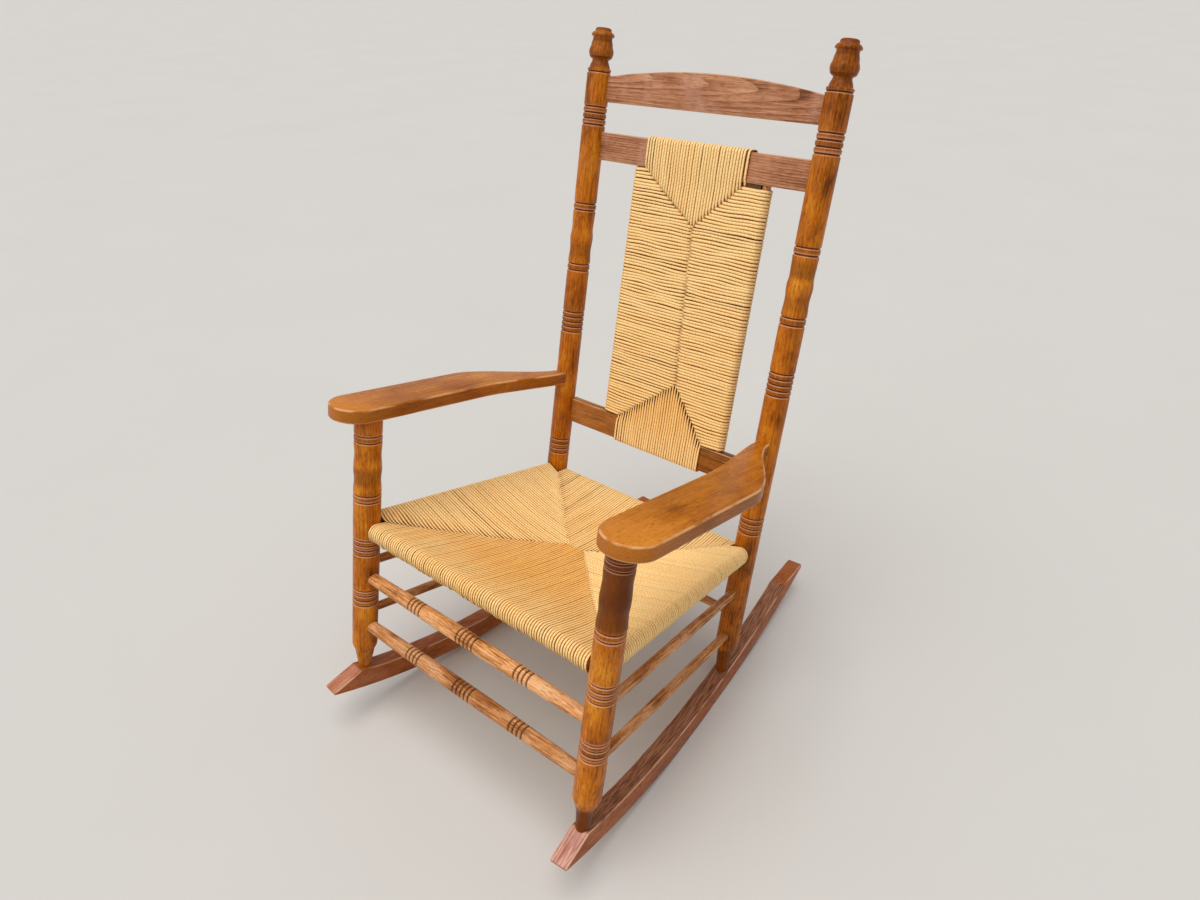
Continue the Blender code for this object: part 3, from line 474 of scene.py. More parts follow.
def lathe(name, knots, grooves, place, look, node, lipped=False, bands=()):
    # bands painted darker: low and high level, strength
    half, count = turning["grooveHalf"], turning["sides"]
    levels = {round(knots[0][0], 6)}
    for low, high in zip(knots, knots[1:]):
        least = 1 if high[2] == "line" else turning["curveSteps"]
        steps = max(least, int((high[0] - low[0]) / turning["step"]))
        levels |= {round(level, 6) for level in spread(low[0], high[0], steps + 1)}
    for groove in grooves:
        levels = {level for level in levels if abs(level - groove) > half}
        levels |= {round(groove + part, 6) for part in spread(-half, half, turning["grooveLevels"])}
    loops = []
    marks = {"groove": [], "lip": [], "shade": []}
    for level in sorted(levels):
        k = max(1, next((i for i, knot in enumerate(knots) if knot[0] >= level), len(knots) - 1))
        low, high = knots[k - 1], knots[k]
        share = runs[high[2]]((level - low[0]) / (high[0] - low[0]))
        dip, dark, lip = grooveAt(level, grooves, lipped)
        radius = low[1] + (high[1] - low[1]) * share - turning["grooveDepth"] * dip
        loops.append([(radius * cos(a), radius * sin(a), level) for a in circle(count)])
        shade = 0.0
        for bottom, top, strength in bands:
            soft = min(turning["bandEdge"], (top - bottom) / 2)
            shade = max(shade, strength * smooth((level - bottom) / soft) * smooth((top - level) / soft))
        for key, value in (("groove", dark), ("lip", lip), ("shade", shade)):
            marks[key] += [value] * count
    addPiece(name, [loops], place, marks, look, node, turning["crease"])


boards = {"rimPoints": 5, "sharpest": 0.5, "crease": 40}


def board(name, outline, size, place, look, node, marks=None, crease=boards["crease"]):
    # flat board over an outline, its two rims rounded by ease. Marks hold a value for each outline point.
    thickness, ease, count = size["thickness"], size["ease"], len(outline)
    points = [Vector(point) for point in outline]
    inward = []
    for i in range(count):
        before = (points[i] - points[i - 1]).normalized()
        after = (points[(i + 1) % count] - points[i]).normalized()
        way = Vector((-before.y - after.y, before.x + after.x)).normalized()
        inward.append(way / max(boards["sharpest"], way.dot(Vector((-after.y, after.x)))))
    rim = []
    for a in spread(0.0, pi / 2, boards["rimPoints"]):
        rim.append((ease * (1 - sin(a)), ease * (1 - cos(a)), sin(2 * a)))
    levels = rim + [(inset, thickness - z, worn) for inset, z, worn in reversed(rim)]
    loops = [[(*(p + w * inset), z) for p, w in zip(points, inward)] for inset, z, _ in levels]
    layers = {
        "wear": [worn for _, _, worn in levels for i in range(count)],
        # how far each loop lies on the side wall, for the painted shade there
        "wall": [1 - inset / ease for inset, _, _ in levels for i in range(count)],
    }
    for key, values in (marks or {}).items():
        layers[key] = [0.0] * count + values * (len(levels) - 2) + [0.0] * count
    addPiece(name, [loops], place, layers, look, node, crease)


# Posts. A foot's levels count from the rocker's top, a finial's from the last wave, where its neck is.

frontPost = {
    "foot": -0.0182, "tenon": 0.020, "girth": {"left": 1.06, "right": 1.0},
    # how much darker each foot is painted
    "footDarkening": {"left": 0.25, "right": 1.0},
    "feet": {
        "left": [(0.0, 0.0110, "line"), (0.041, 0.0186, "line"), (0.056, 0.0235, "out")],
        "right": [
            (0.0, 0.0116, "line"), (0.040, 0.0148, "line"), (0.042, 0.0166, "line"), (0.063, 0.0235, "line"),
        ],
    },
    "grooves": [(0.127, 0.159, 4), (0.234, 0.264, 4), (0.340, 0.353, 2), (0.454, 0.466, 2)],
    "waves": [(0.358, 1.0), (0.380, 0.945), (0.401, 1.0), (0.431, 0.94), (0.4495, 0.985), (0.4947, 0.985)],
    # painted darker: the arm's painted shadow on the right front post, dark patches in the left one's wave
    "shadeAndStains": {"left": [(0.366, 0.412, 0.5)], "right": [(0.350, 0.484, 1.0)]},
    "finial": [], "finialShade": [],
}
rearPost = {
    "foot": 0.0235, "tenon": 0.020, "girth": dict.fromkeys(sides, 1.0),
    "footDarkening": dict.fromkeys(sides, 0.9),
    "feet": dict.fromkeys(sides, [(0.0, 0.0116, "line"), (0.044, 0.0150, "line"), (0.066, 0.02225, "out")]),
    "grooves": [
        (0.3364, 0.368, 4), (0.607, 0.6475, 5), (0.733, 0.7454, 2), (0.8505, 0.863, 2), (1.008, 1.0395, 4),
    ],
    "waves": [
        (0.749, 0.985), (0.773, 0.94), (0.797, 1.015), (0.8136, 0.935), (0.834, 0.965), (0.848, 0.99),
        (1.0995, 1.0),
    ],
    # painted shade in the waists of the rear posts' waves
    "shadeAndStains": {"left": [(0.752, 0.792, 0.4)], "right": [(0.752, 0.788, 0.3), (0.806, 0.846, 0.5)]},
    "finial": [
        (0.0052, 0.0219, "line"), (0.0074, 0.0190, "wave"), (0.0212, 0.0149, "wave"),
        (0.0218, 0.0160, "line"), (0.0271, 0.0212, "out"), (0.0347, 0.0229, "out"),
        (0.0461, 0.0200, "wave"), (0.0566, 0.0177, "wave"), (0.0596, 0.0180, "line"),
        (0.0604, 0.0206, "line"), (0.0622, 0.0213, "out"), (0.0665, 0.0188, "in"),
        (0.0684, 0.0156, "wave"), (0.0722, 0.0146, "line"), (0.0747, 0.0118, "in"),
    ],
    # painted shade on the finial: darker everywhere but a band round the bulb, deepest under the bulb
    "finialShade": [
        (0.0, 0.090, 0.4), (0.005, 0.022, 0.7), (0.021, 0.0295, 1.0), (0.045, 0.0615, 0.8),
        (0.066, 0.080, 0.8),
    ],
}


def makePost(name, post, side, x, y):
    foot, feet, waves = post["foot"], post["feet"][side], post["waves"]
    radius = chair[name + "Post"] * post["girth"][side]
    top = waves[-1][0]
    knots = [(foot - post["tenon"], feet[0][1], "line")]
    knots += [(foot + level, width, how) for level, width, how in feet]
    knots.append((waves[0][0], radius, "line"))
    knots += [(level, radius * share, "wave") for level, share in waves[1:]]
    knots += [(top + level, width, how) for level, width, how in post["finial"]]
    grooves = [level for group in post["grooves"] for level in spread(*group)]
    if post["finial"]:
        grooves.append(top)
    margin = turning["grooveMargin"]
    collar = foot + feet[-1][0] - turning["collar"]
    # bands for the shade mark: darker feet, painted shade and shadow, darker grooved bands, painted shade on
    # the finial
    bands = [(foot - 2 * post["tenon"], collar, post["footDarkening"][side])] + post["shadeAndStains"][side]
    bands += [(low - margin, high + margin, turning["grooveDarkening"]) for low, high, _ in post["grooves"]]
    bands += [(top + low, top + high, strength) for low, high, strength in post["finialShade"]]
    place = chairPlace @ Matrix.Translation((sides[side] * x, y, 0))
    lathe(name + "Post_" + side, knots, grooves, place, "turnedOak", name + "_post_" + side, True, bands)


def makePosts():
    for side in sides:
        makePost("front", frontPost, side, frontHalf, 0.0)
        makePost("rear", rearPost, side, rearHalf, depth)


# Stretchers

stretchers = {
    "frontLevels": {"upper": 0.184, "lower": 0.080}, "frontEnd": 0.011, "frontMiddle": 0.0142,
    # the upper stretcher takes the copy of the oak painted lighter
    "frontLooks": {"upper": "litUpperStretcherOak", "lower": "stretcherOak"},
    "rings": [(-0.130, 0.0285, 4), (0.0, 0.038, 5), (0.130, 0.0285, 4)],
    "sideRise": 0.025, "rearRise": {"upper": 0.0, "lower": 0.006},
    "plainEnd": 0.008, "plainMiddle": 0.0094, "rearLevel": 0.155, "knots": 13,
    "sunk": 0.0085,  # the ends stop inside the posts
}


def stretcher(title, node, start, stop, kind, look="stretcherOak", grooves=()):
    s = stretchers
    end, wide = s[kind + "End"], s[kind + "Middle"]
    bare = (stop - start).length - 2 * s["sunk"]
    knots = []
    for share in spread(0.0, 1.0, s["knots"]):
        knots.append((s["sunk"] + bare * share, end + (wide - end) * sin(pi * share), "line"))
    lathe(title, knots, grooves, along(start, stop), look, node)


def makeStretchers():
    s = stretchers
    for height, level in s["frontLevels"].items():
        start, stop = pair(frontHalf, 0, level)
        grooves = []
        for place, width, count in s["rings"]:
            grooves += spread(frontHalf + place - width / 2, frontHalf + place + width / 2, count)
        title, node = "frontStretcher_" + height, "front_stretcher_" + height
        stretcher(title, node, start, stop, "front", s["frontLooks"][height], grooves)
        for side, sign in sides.items():
            start = Vector((sign * frontHalf, 0, level + s["sideRise"]))
            stop = Vector((sign * rearHalf, depth, level + s["sideRise"] + s["rearRise"][height]))
            title = "sideStretcher_%s_%s" % (height, side)
            stretcher(title, "side_stretcher_%s_%s" % (height, side), start, stop, "plain")
    start, stop = pair(rearHalf, depth, s["rearLevel"])
    stretcher("rearStretcher", "rear_stretcher", start, stop, "plain")


# Arms

arm = {
    "level": 0.495, "thickness": 0.025, "width": 0.091, "inset": 0.026, "nose": 0.058,
    "sweep": 0.220, "neckWidth": 0.025, "ease": 0.0036, "curveSteps": 24, "straightSteps": 12,
}


def armOutline():
    a = arm
    half = a["width"] / 2
    inner = frontHalf - a["inset"]
    outer = inner + a["width"]
    neckInner, neckOuter = rearHalf - a["neckWidth"] / 2, rearHalf + a["neckWidth"] / 2
    noseY = half - a["nose"]
    straight = depth - chair["rearPost"] / 2 - a["sweep"]
    shares = spread(0.0, 1.0, a["curveSteps"] + 1)
    straights = spread(noseY, straight, a["straightSteps"] + 1)[1:-1]
    points = []
    for share in shares:
        turn = pi * (1 + share)
        points.append((inner + half + half * cos(turn), noseY + half * sin(turn)))
    points += [(outer, y) for y in straights]
    points += [(outer - (outer - neckOuter) * smooth(t), straight + a["sweep"] * t) for t in shares]
    points += [(inner - (inner - neckInner) * smooth(t), straight + a["sweep"] * t) for t in reversed(shares)]
    return points + [(inner, y) for y in reversed(straights)]


def makeArms():
    place = chairPlace @ Matrix.Translation((0, 0, arm["level"]))
    for side, sign in sides.items():
        outline = armOutline()
        if sign < 0:
            outline = [(-x, y) for x, y in reversed(outline)]
        board("arm_" + side + "_board", outline, arm, place, "armOak", "arm_" + side)


# Back rails

backRails = {
    "middle": 0.010, "thickness": 0.020, "ease": 0.0022, "sunk": 0.004, "steps": 24,
    "crestLevel": 1.050, "crestEnd": 0.043, "crestMiddle": 0.062,
    "height": 0.050, "upper": 0.972, "lower": 0.437,
}


def makeRails():
    b = backRails
    half = rearHalf - chair["rearPost"] + b["sunk"]
    behind = Matrix.Translation((0, depth + b["middle"] + b["thickness"] / 2, 0))
    place = chairPlace @ behind @ Matrix.Rotation(pi / 2, 4, "X")
    rise = b["crestMiddle"] - b["crestEnd"]
    across = spread(-half, half, b["steps"] + 1)
    shapes = {"crest_rail": [(x, b["crestLevel"]) for x in across]}
    for x in spread(half, -half, 2 * b["steps"] + 1):
        shapes["crest_rail"].append((x, b["crestLevel"] + b["crestEnd"] + rise * (1 - (x / half) ** 2)))
    for name in ("upper", "lower"):
        low, high = b[name] - b["height"] / 2, b[name] + b["height"] / 2
        shapes[name + "_back_rail"] = [(x, low) for x in across] + [(x, high) for x in reversed(across)]
    for node, outline in shapes.items():
        look = "lowRailOak" if node == "lower_back_rail" else "railOak"
        board(node + "_board", outline, b, place, look, node)


# Rockers

rocker = {
    "frontRadius": 1.160, "rearRadius": 1.500, "flat": 0.028, "height": 0.041, "thickness": 0.033,
    "nose": {"left": 0.4731, "right": 0.4621},  # ends, from the middle of the flat
    "tail": dict.fromkeys(sides, 0.4389),
    "noseBevel": 0.047, "noseTip": 0.005, "tailBevel": 0.090, "tailTip": 0.009, "ease": 0.0026, "toe": 4.70,
    "underPoints": 32, "topPoints": 30, "bevelShares": (0.0, 0.06, 0.3, 0.6, 0.94), "crease": 24,
    "bare": {"left": 0.4, "right": 1.0},  # how far the nose is worn
    "tread": {"left": 0.3, "right": 1.0},  # how much painted shade each top gets
}


def rockerHalf(way, end, side, radius):
    # underside, bevel and top before (-1) or behind (1) the flat, with the part that each point is on
    r = rocker
    half = r["flat"] / 2
    bevel, tip, full = r[end + "Bevel"], r[end + "Tip"], r[end][side]

    def arc(rise, reach, count, kind):
        points = []
        for turn in spread(0.0, asin((reach - half) / radius), count):
            y = way * (half + (radius - rise) * sin(turn))
            points.append((y, radius - (radius - rise) * cos(turn), kind))
        return points

    under = arc(0.0, full, r["underPoints"], "under")
    top = arc(r["height"], full - bevel, r["topPoints"], "top")
    lowY, lowZ, _ = under[-1]
    highY, highZ, _ = top[-1]
    slope = []
    for t in r["bevelShares"]:
        slope.append((lowY + (highY - lowY) * t, lowZ + tip + (highZ - lowZ - tip) * t, end))
    return under + slope + list(reversed(top))


def makeRockers():
    r = rocker
    stand = Matrix(((0, 0, 1, 0), (1, 0, 0, 0), (0, 1, 0, 0), (0, 0, 0, 1)))
    centred = Matrix.Translation((0, 0, -r["thickness"] / 2))
    contacts = [mount["pos_m"] for mount in frame["record"]["mounts"]]
    for side, sign in sides.items():
        front = rockerHalf(-1, "nose", side, r["frontRadius"])
        points = list(reversed(front)) + rockerHalf(1, "tail", side, r["rearRadius"])
        outline = [(y, z) for y, z, _ in points]
        x, y = next((p[0], p[1]) for p in contacts if p[0] * sign > 0)
        turn = Matrix.Rotation(radians(sign * r["toe"]), 4, "Z")
        place = Matrix.Translation((x, y, 0)) @ turn @ stand @ centred
        marks = {
            "bare": [r["bare"][side] if kind == "nose" else 0.0 for _, _, kind in points],
            # the tops get the painted shade
            "tread": [r["tread"][side] if kind == "top" else 0.0 for _, _, kind in points],
        }
        node = "rocker_" + side
        board(node + "_plank", outline, r, place, "rockerOak", node, marks, r["crease"])


makePosts()
makeStretchers()
makeArms()
makeRails()
makeRockers()
print("wooden pieces made")


# Rush: every cord is a tube from a mitre on one face, round its rail or stick, to the same mitre behind

# a cord's gap value sets how much painted shade and dirt lies beside it; loose cords are also narrower
weave = {
    "sides": 8, "snug": 0.53, "looseGap": 1.6,  # snug: half a cord's width, as a share of its pitch
    "swell": 0.07, "swells": 38, "splitGap": 2.0, "runStep": 0.31, "ripples": (17, 42),
}
cordEnds = {  # the length and strength of the painted shade at the tuck, the ends' slimness and its length, and how much the painted shade between the ends deepens
    "finger": (0.003, 0.4, 0.58, 0.026, 1.0), "under": (0.003, 0.25, 0.90, 0.010, 0.0),
    "meet": (0.004, 0.15, 0.92, 0.008, 0.2), "seam": (0.008, 0.65, 0.85, 0.009, 0.5),
}


def wobble(seed, distance, scale):
    return noise.noise(Vector((distance * scale, seed * 7.13, 0.37 * seed)))


def ripple(lengthwise, across, layer):  # a sway that neighbouring cords share
    return noise.noise(Vector((lengthwise * weave["ripples"][0], across * weave["ripples"][1], layer)))


def swayed(sway, seed, lengthwise, across):
    shared, layer, own, scale = sway
    return shared * ripple(lengthwise, across, layer) + own * wobble(seed, lengthwise, scale)


class Cord:  # spots gathered along one cord: point, way out, age, dusk (painted shade) and deeper gap (more painted shade between cords)
    def __init__(self, seed, tone, gap, wide, tall):
        self.seed, self.tone, self.gap, self.wide, self.tall = seed, tone, gap, wide, tall
        self.spots = []

    def add(self, point, up, age, dusk=0.0, deeper=0.0):
        self.spots.append((Vector(point), Vector(up).normalized(), age, dusk, deeper))

    def wrap(self, lay, ahead, bend):  # along one face, round the bend, and back along the other face
        for spot in ahead:
            lay(1, *spot)
        for spot in bend:
            self.add(*spot)
        for spot in reversed(ahead):
            lay(-1, *spot)

    def tube(self, end):  # its loops, their marks and their distances along it
        tuckLength, dark, slim, slimLength, split = cordEnds[end]
        points = [spot[0] for spot in self.spots]
        run = [0.0]
        for before, after in zip(points, points[1:]):
            run.append(run[-1] + (after - before).length)
        loops, marks = [], []
        for k, (point, up, age, dusk, deeper) in enumerate(self.spots):
            fromEnd = min(run[k], run[-1] - run[k])
            near = smooth(1 - fromEnd / slimLength)
            swell = 1 + weave["swell"] * wobble(self.seed, run[k], weave["swells"])
            size = (1 - near * (1 - slim)) * swell
            ahead = (points[min(k + 1, len(points) - 1)] - points[max(k - 1, 0)]).normalized()
            across = ahead.cross(up).normalized()
            wide, tall = across * (self.wide * size), across.cross(ahead) * (self.tall * size)
            loops.append([point + wide * cos(a) + tall * sin(a) for a in circle(weave["sides"])])
            # painted shade at the tucked ends and under the rolls
            tuck = max(dusk, dark * smooth(1 - fromEnd / tuckLength))
            gap = self.gap + deeper + (weave["splitGap"] - self.gap) * near * split
            marks.append((self.tone, tuck, age, gap))
        return loops, marks, [length + weave["runStep"] * self.seed for length in run]


def joinTubes(name, cords, node):
    count = weave["sides"]
    tubes = [loops for loops, _, _ in cords]
    spots = [spot for _, marks, _ in cords for spot in marks]
    lengths = [length for _, _, run in cords for length in run]
    marks = {key: [spot[k] for spot in spots for i in range(count)] for k, key in enumerate(cordMarks)}
    piece = addPiece(name, tubes, chairPlace, marks, "paperRush", node)
    uvs = []
    for polygon in piece.data.polygons:
        around = [v % count for v in polygon.vertices]
        wraps = max(around) - min(around) == count - 1 and len(around) == 4
        for vertex, i in zip(polygon.vertices, around):
            uvs += [lengths[vertex // count], (i + count if wraps and i == 0 else i) / count]
    piece.data.uv_layers.new(name="cord").data.foreach_set("uv", uvs)
    print("%s: %d cords" % (name, len(cords)))


seat = {
    "sideRise": 0.010, "roll": 0.0155, "droop": 0.006, "sag": 0.014, "thickness": 0.024,
    "ridgeDepth": 0.266, "ridgeHalf": 0.0185, "seed": 5, "tall": 0.0027, "rollPoints": 11,
    "pitches": {"front": 0.0052, "right": 0.0055, "rear": 0.0055, "left": 0.0060},
    "gaps": {"front": 1.00, "right": 0.35, "rear": 0.90, "left": 0.85},  # depth of painted shade and dirt between cords
    "golden": {"front": 1.0, "right": 0.15, "rear": 0.45, "left": 0.35},  # turned by handling
    "goldenEdge": 0.55, "goldenRise": 2.2, "underAge": 0.3,  # less at the rails and beside the posts
    "loose": {"front": 0.0, "right": 0.0, "rear": 0.04, "left": 0.02},  # share that leaves a wider gap
    "rollDusk": 0.45, "rollGap": 0.55,  # painted shade under the rolls, and between their ribs
    "over": {"left": "stop", "rear": "start"}, "under": {"front": "start", "right": "stop"},
    "past": {"finger": 0.0060, "under": 0.0012, "meet": 0.0012},  # how far a cord passes its mitre
    "lapLength": 0.028, "lapLift": 0.0006, "lapShare": 0.3, "underLift": 0.0008,  # where triangles overlap
    "diveLength": 0.010, "dive": 0.003,
    "nearMitre": (0.002, 0.007, 0.013), "nearRail": 0.002, "short": 0.03, "step": 0.014,  # points on a cord
    "sway": (0.0010, 3.0, 0.0003, 16), "looseWide": 0.46, "ridgeSlack": 0.001,
    "scatter": 0.0003, "droopScatter": (-0.0022, 0.0014), "gapScatter": 0.30,
}


class SeatSide:
    def __init__(self, name, start, stop, level, ridge, bare):
        self.name, self.start, self.level, self.bare = name, start, level, bare
        self.full = (stop - start).length
        self.way = (stop - start).normalized()
        self.inward = Vector((-self.way.y, self.way.x, 0))
        self.line = [start] + ridge + [stop]
        self.ridgeAway = (ridge[0] - start).dot(self.inward)

    def share(self, point):  # 0 at the rail, 1 at the ridge
        return min((point - self.start).dot(self.inward) / self.ridgeAway, 1.0)

    def height(self, point, face, droop=0.0):
        edge = self.level + seat["roll"] if face > 0 else self.level - seat["roll"] - droop
        centre = chair["seatLevel"] - seat["sag"] - (0.0 if face > 0 else seat["thickness"])
        return edge + (centre - edge) * sin(self.share(point) * pi / 2)

    def reach(self, base):  # distance from base to the mitre line
        start, far = base.xy, (base + self.inward * self.full).xy
        hits = [intersect_line_line_2d(start, far, a.xy, b.xy) for a, b in zip(self.line, self.line[1:])]
        return min((hit - start).length for hit in hits if hit is not None)


def seatSides():
    frontLevel = chair["seatLevel"]
    sideLevel = frontLevel + seat["sideRise"]
    frontLeft, frontRight = pair(frontHalf, 0, 0)
    rearLeft, rearRight = pair(rearHalf, depth, 0)
    left, right = pair(seat["ridgeHalf"], seat["ridgeDepth"], 0)
    front, rear = chair["frontPost"], chair["rearPost"]
    return [
        SeatSide("front", frontLeft, frontRight, frontLevel, [left, right], (front, front)),
        SeatSide("right", frontRight, rearRight, sideLevel, [right], (front, rear)),
        SeatSide("rear", rearRight, rearLeft, frontLevel, [right, left], (rear, rear)),
        SeatSide("left", rearLeft, frontLeft, sideLevel, [left], (rear, front)),
    ]


def seatCord(side, beside, kind, base, end, droop, cord):
    s = seat
    place = (base - side.start).length / side.full

    def age(share, face):
        if face < 0:
            return s["underAge"]
        least = s["goldenEdge"]
        inner = least + (1 - least) * smooth(share * s["goldenRise"])
        return s["golden"][side.name] * inner * (least + (1 - least) * (1 - abs(2 * place - 1)))

    def lay(face, away):
        point = base + side.inward * away
        height = side.height(point, face, droop)
        if face > 0 and beside:  # the last stretch leans towards the next triangle's top
            other = beside.height(point, 1)
            lapped = other + s["lapLift"] + s["lapShare"] * max(0.0, height - other)
            aim = {"finger": lapped, "under": height + s["underLift"], "meet": (height + other) / 2}
            height += (aim[kind] - height) * smooth(1 - (end - away) / s["lapLength"])
        elif kind == "under" or face < 0:
            height -= face * s["dive"] * smooth(1 - (end - away) / s["diveLength"])
        point += side.way * swayed(s["sway"], cord.seed, away, place * side.full)
        cord.add((point.x, point.y, height - face * cord.tall), (0, 0, face), age(side.share(point), face))

    ahead = [(end + s["past"][kind],)]
    ahead += [(end - near,) for near in s["nearMitre"] if end - near > s["nearRail"]]
    if end > s["short"]:
        rest = end - s["nearMitre"][-1]
        steps = max(1, int(rest / s["step"]))
        ahead += [(rest * (1 - j / steps),) for j in range(1, steps)]
    ring = s["roll"] - cord.tall
    roll = []
    for turn in spread(pi / 2, -pi / 2, s["rollPoints"]):
        rise = sin(turn)
        out = -side.inward * cos(turn)
        level = side.level + rise * (ring if turn >= 0 else ring + droop)
        point = base + out * ring + Vector((0, 0, level))
        # painted shade under the roll and between its ribs
        dusk, deeper = s["rollDusk"] * smooth(-rise), s["rollGap"] * cos(turn)
        roll.append((point, out + Vector((0, 0, rise)), age(0.0, 1), dusk, deeper))
    cord.wrap(lay, ahead, roll)
    return cord.tube(kind)


def makeRushSeat():
    s = seat
    draw = random.Random(s["seed"])
    cords = []
    around = seatSides()
    for k, side in enumerate(around):
        room = side.full - sum(side.bare)
        count = int(room / s["pitches"][side.name])
        pitch = room / count
        for i in range(count):
            spot = side.bare[0] + (i + 0.5) * pitch + draw.uniform(-s["scatter"], s["scatter"])
            base = side.start + side.way * spot
            end = side.reach(base)
            half = "start" if i < count / 2 else "stop"
            beside, kind = None, "meet"
            if end < side.ridgeAway - s["ridgeSlack"]:  # short of the ridge, so on a mitre
                beside = around[(k + (1 if half == "stop" else -1)) % 4]
                kind = "finger" if s["over"].get(side.name) == half else kind
                kind = "under" if s["under"].get(side.name) == half else kind
            droop = s["droop"] + draw.uniform(*s["droopScatter"])
            gap = s["gaps"][side.name] + draw.uniform(-s["gapScatter"], s["gapScatter"])
            tone = draw.random()
            wide = weave["snug"]
            if draw.random() < s["loose"][side.name]:
                gap, wide = weave["looseGap"], s["looseWide"]
            cord = Cord(len(cords) + 1, tone, gap, pitch * wide, s["tall"])
            cords.append(seatCord(side, beside, kind, base, end, droop, cord))
    joinTubes("rushSeat", cords, "rush_seat")


back = {
    "shift": 0.009, "stickHalf": 0.1325, "stick": 0.0075, "cord": 0.004, "bulge": 0.0016, "tall": 0.0022,
    "upperSpan": (-0.108, 0.104), "lowerSpan": (-0.095, 0.108),
    "upperApex": (0.0125, 0.8595), "lowerApex": (0.029, 0.5614),
    "top": (0.9465, 0.943), "bottom": (0.462, 0.462), "trim": 0.002, "seed": 11,
    "wraps": {  # cords that run up and down, round the rails
        "seed": 2000, "pitch": 0.0057, "scatter": 0.0003, "sway": (0.0009, 5.0, 0.0003, 20),
        "apart": {("upper", -1): 0.0026, ("lower", 0): -0.0012, ("lower", 2): -0.0006},  # cords that stray
        "outerGap": 1.5, "outer": 3, "gap": 0.85, "gapScatter": (-0.2, 0.1),
        "ends": {"upper": "seam", "lower": "finger"}, "dive": {"upper": 0.0026, "lower": 0.0006},
        "age": {"upper": 0.10, "lower": 0.55}, "railAge": 0.05, "topAge": 0.15, "ageRise": 0.07,
        "mitre": ((-0.004, 1.0), (0.002, 0.5), (0.006, 0.0)),  # from the mitre, and the share of the dive
        "rail": ((0.006, -0.0004), (0.018, 0.0), (0.034, 0.0)),  # from the rail's inner edge, and the lift
        "edge": 0.004, "corner": 0.0046, "drop": 0.0025, "step": 0.014, "swell": 0.05, "clear": 0.008,
    },
    "flanks": {  # cords that run across, round the sticks
        "seed": 4000, "pitch": 0.0059, "scatter": 0.0004, "sway": (0.0022, 7.0, 0.0005, 26),
        "gap": 1.00, "gapScatter": 0.30, "wide": 0.535, "loose": 0.03, "looseWide": 0.45,
        "endScatter": 0.0022, "mitre": ((-0.003, 0.0026), (0.002, 0.0012)),  # from the mitre, and the dive
        "clear": 0.006, "step": 0.011, "swell": 0.06, "rise": 1.6, "stickPoints": 9,
        "age": 0.10, "lowAge": 0.25, "lowFrom": 0.75, "lowOver": 0.3,
        # painted shade where the cords turn round the sticks
        "dusk": {"left": 0.15, "right": 0.30},
    },
}
backMiddle = depth + backRails["middle"]
panelFace = back["stick"] + back["cord"] - back["tall"]  # cord centre in front of the panel's middle


def onLine(points, at):  # a line through points, read at a place along it
    k = next((i for i in range(1, len(points) - 1) if at < points[i][0]), len(points) - 1)
    (first, low), (last, high) = points[k - 1:k + 1]
    return low + (high - low) * (at - first) / (last - first)


def wrapCord(name, up, x, end, cord):
    b, r, w = back, backRails, back["wraps"]
    edge = r[name] + up * r["height"] / 2
    inner = edge - up * r["height"]
    onRail = r["thickness"] / 2 + b["cord"] - b["tall"]

    def lay(face, level, away, tilt=0.0):
        age = w["railAge"] + w["age"][name] * smooth(abs(level - edge) / w["ageRise"])
        across = x + swayed(w["sway"], cord.seed, level, x)
        cord.add((across, backMiddle - face * away, level), (0, -face, tilt), age)

    reach = abs(inner - end)
    swell = b["bulge"] * smooth(reach / w["swell"])
    ahead = [(end + up * past, panelFace + swell - w["dive"][name] * part) for past, part in w["mitre"]]
    steps = int(reach / w["step"])
    for j in range(1, steps):
        if reach * j / steps > w["clear"]:
            ahead.append((end + up * reach * j / steps, panelFace + swell * (1 - j / steps)))
    ahead += [(inner + up * past, onRail + lift) for past, lift in w["rail"]]
    ahead.append((edge - up * w["edge"], onRail))
    for turn in (pi / 8, pi / 4, pi * 3 / 8):
        level = edge - up * (w["drop"] - w["corner"] * sin(turn))
        ahead.append((level, onRail - w["corner"] * (1 - cos(turn)), up * tan(turn)))
    over = []
    for share in (0.5, 0.0, -0.5):
        over.append(((x, backMiddle - share * onRail, edge + up * b["tall"]), (0, 0, up), w["topAge"]))
    cord.wrap(lay, ahead, over)
    return cord.tube(w["ends"][name])


def flankCord(side, level, end, cord):
    b, c, sign = back, back["flanks"], sides[side]
    edgeX = b["shift"] + sign * b["stickHalf"]
    age = c["age"] + c["lowAge"] * smooth((c["lowFrom"] - level) / c["lowOver"])

    def lay(face, x, away):
        height = level + swayed(c["sway"], cord.seed, x, level)
        cord.add((x, backMiddle - face * away, height), (0, -face, 0), age)

    reach = abs(edgeX - end)
    swell = b["bulge"] * min(1.0, reach / c["swell"])
    ahead = [(end + sign * past, panelFace - dive) for past, dive in c["mitre"]]
    clear = end + sign * c["clear"]
    for share in spread(0.0, 1.0, max(2, int(reach / c["step"])) + 1)[:-1]:
        bulge = swell * smooth((1 - share) * c["rise"])
        ahead.append((clear + (edgeX - clear) * share, panelFace + bulge))
    shared, layer, _, _ = c["sway"]
    centre = Vector((edgeX, backMiddle, level + shared * ripple(edgeX, level, layer)))
    bend = []
    for turn in spread(pi / 2, -pi / 2, c["stickPoints"]):
        out = Vector((sign * cos(turn), -sin(turn), 0))
        bend.append((centre + out * panelFace, out, age, c["dusk"][side] * cos(turn)))
    cord.wrap(lay, ahead, bend)
    return cord.tube("seam")


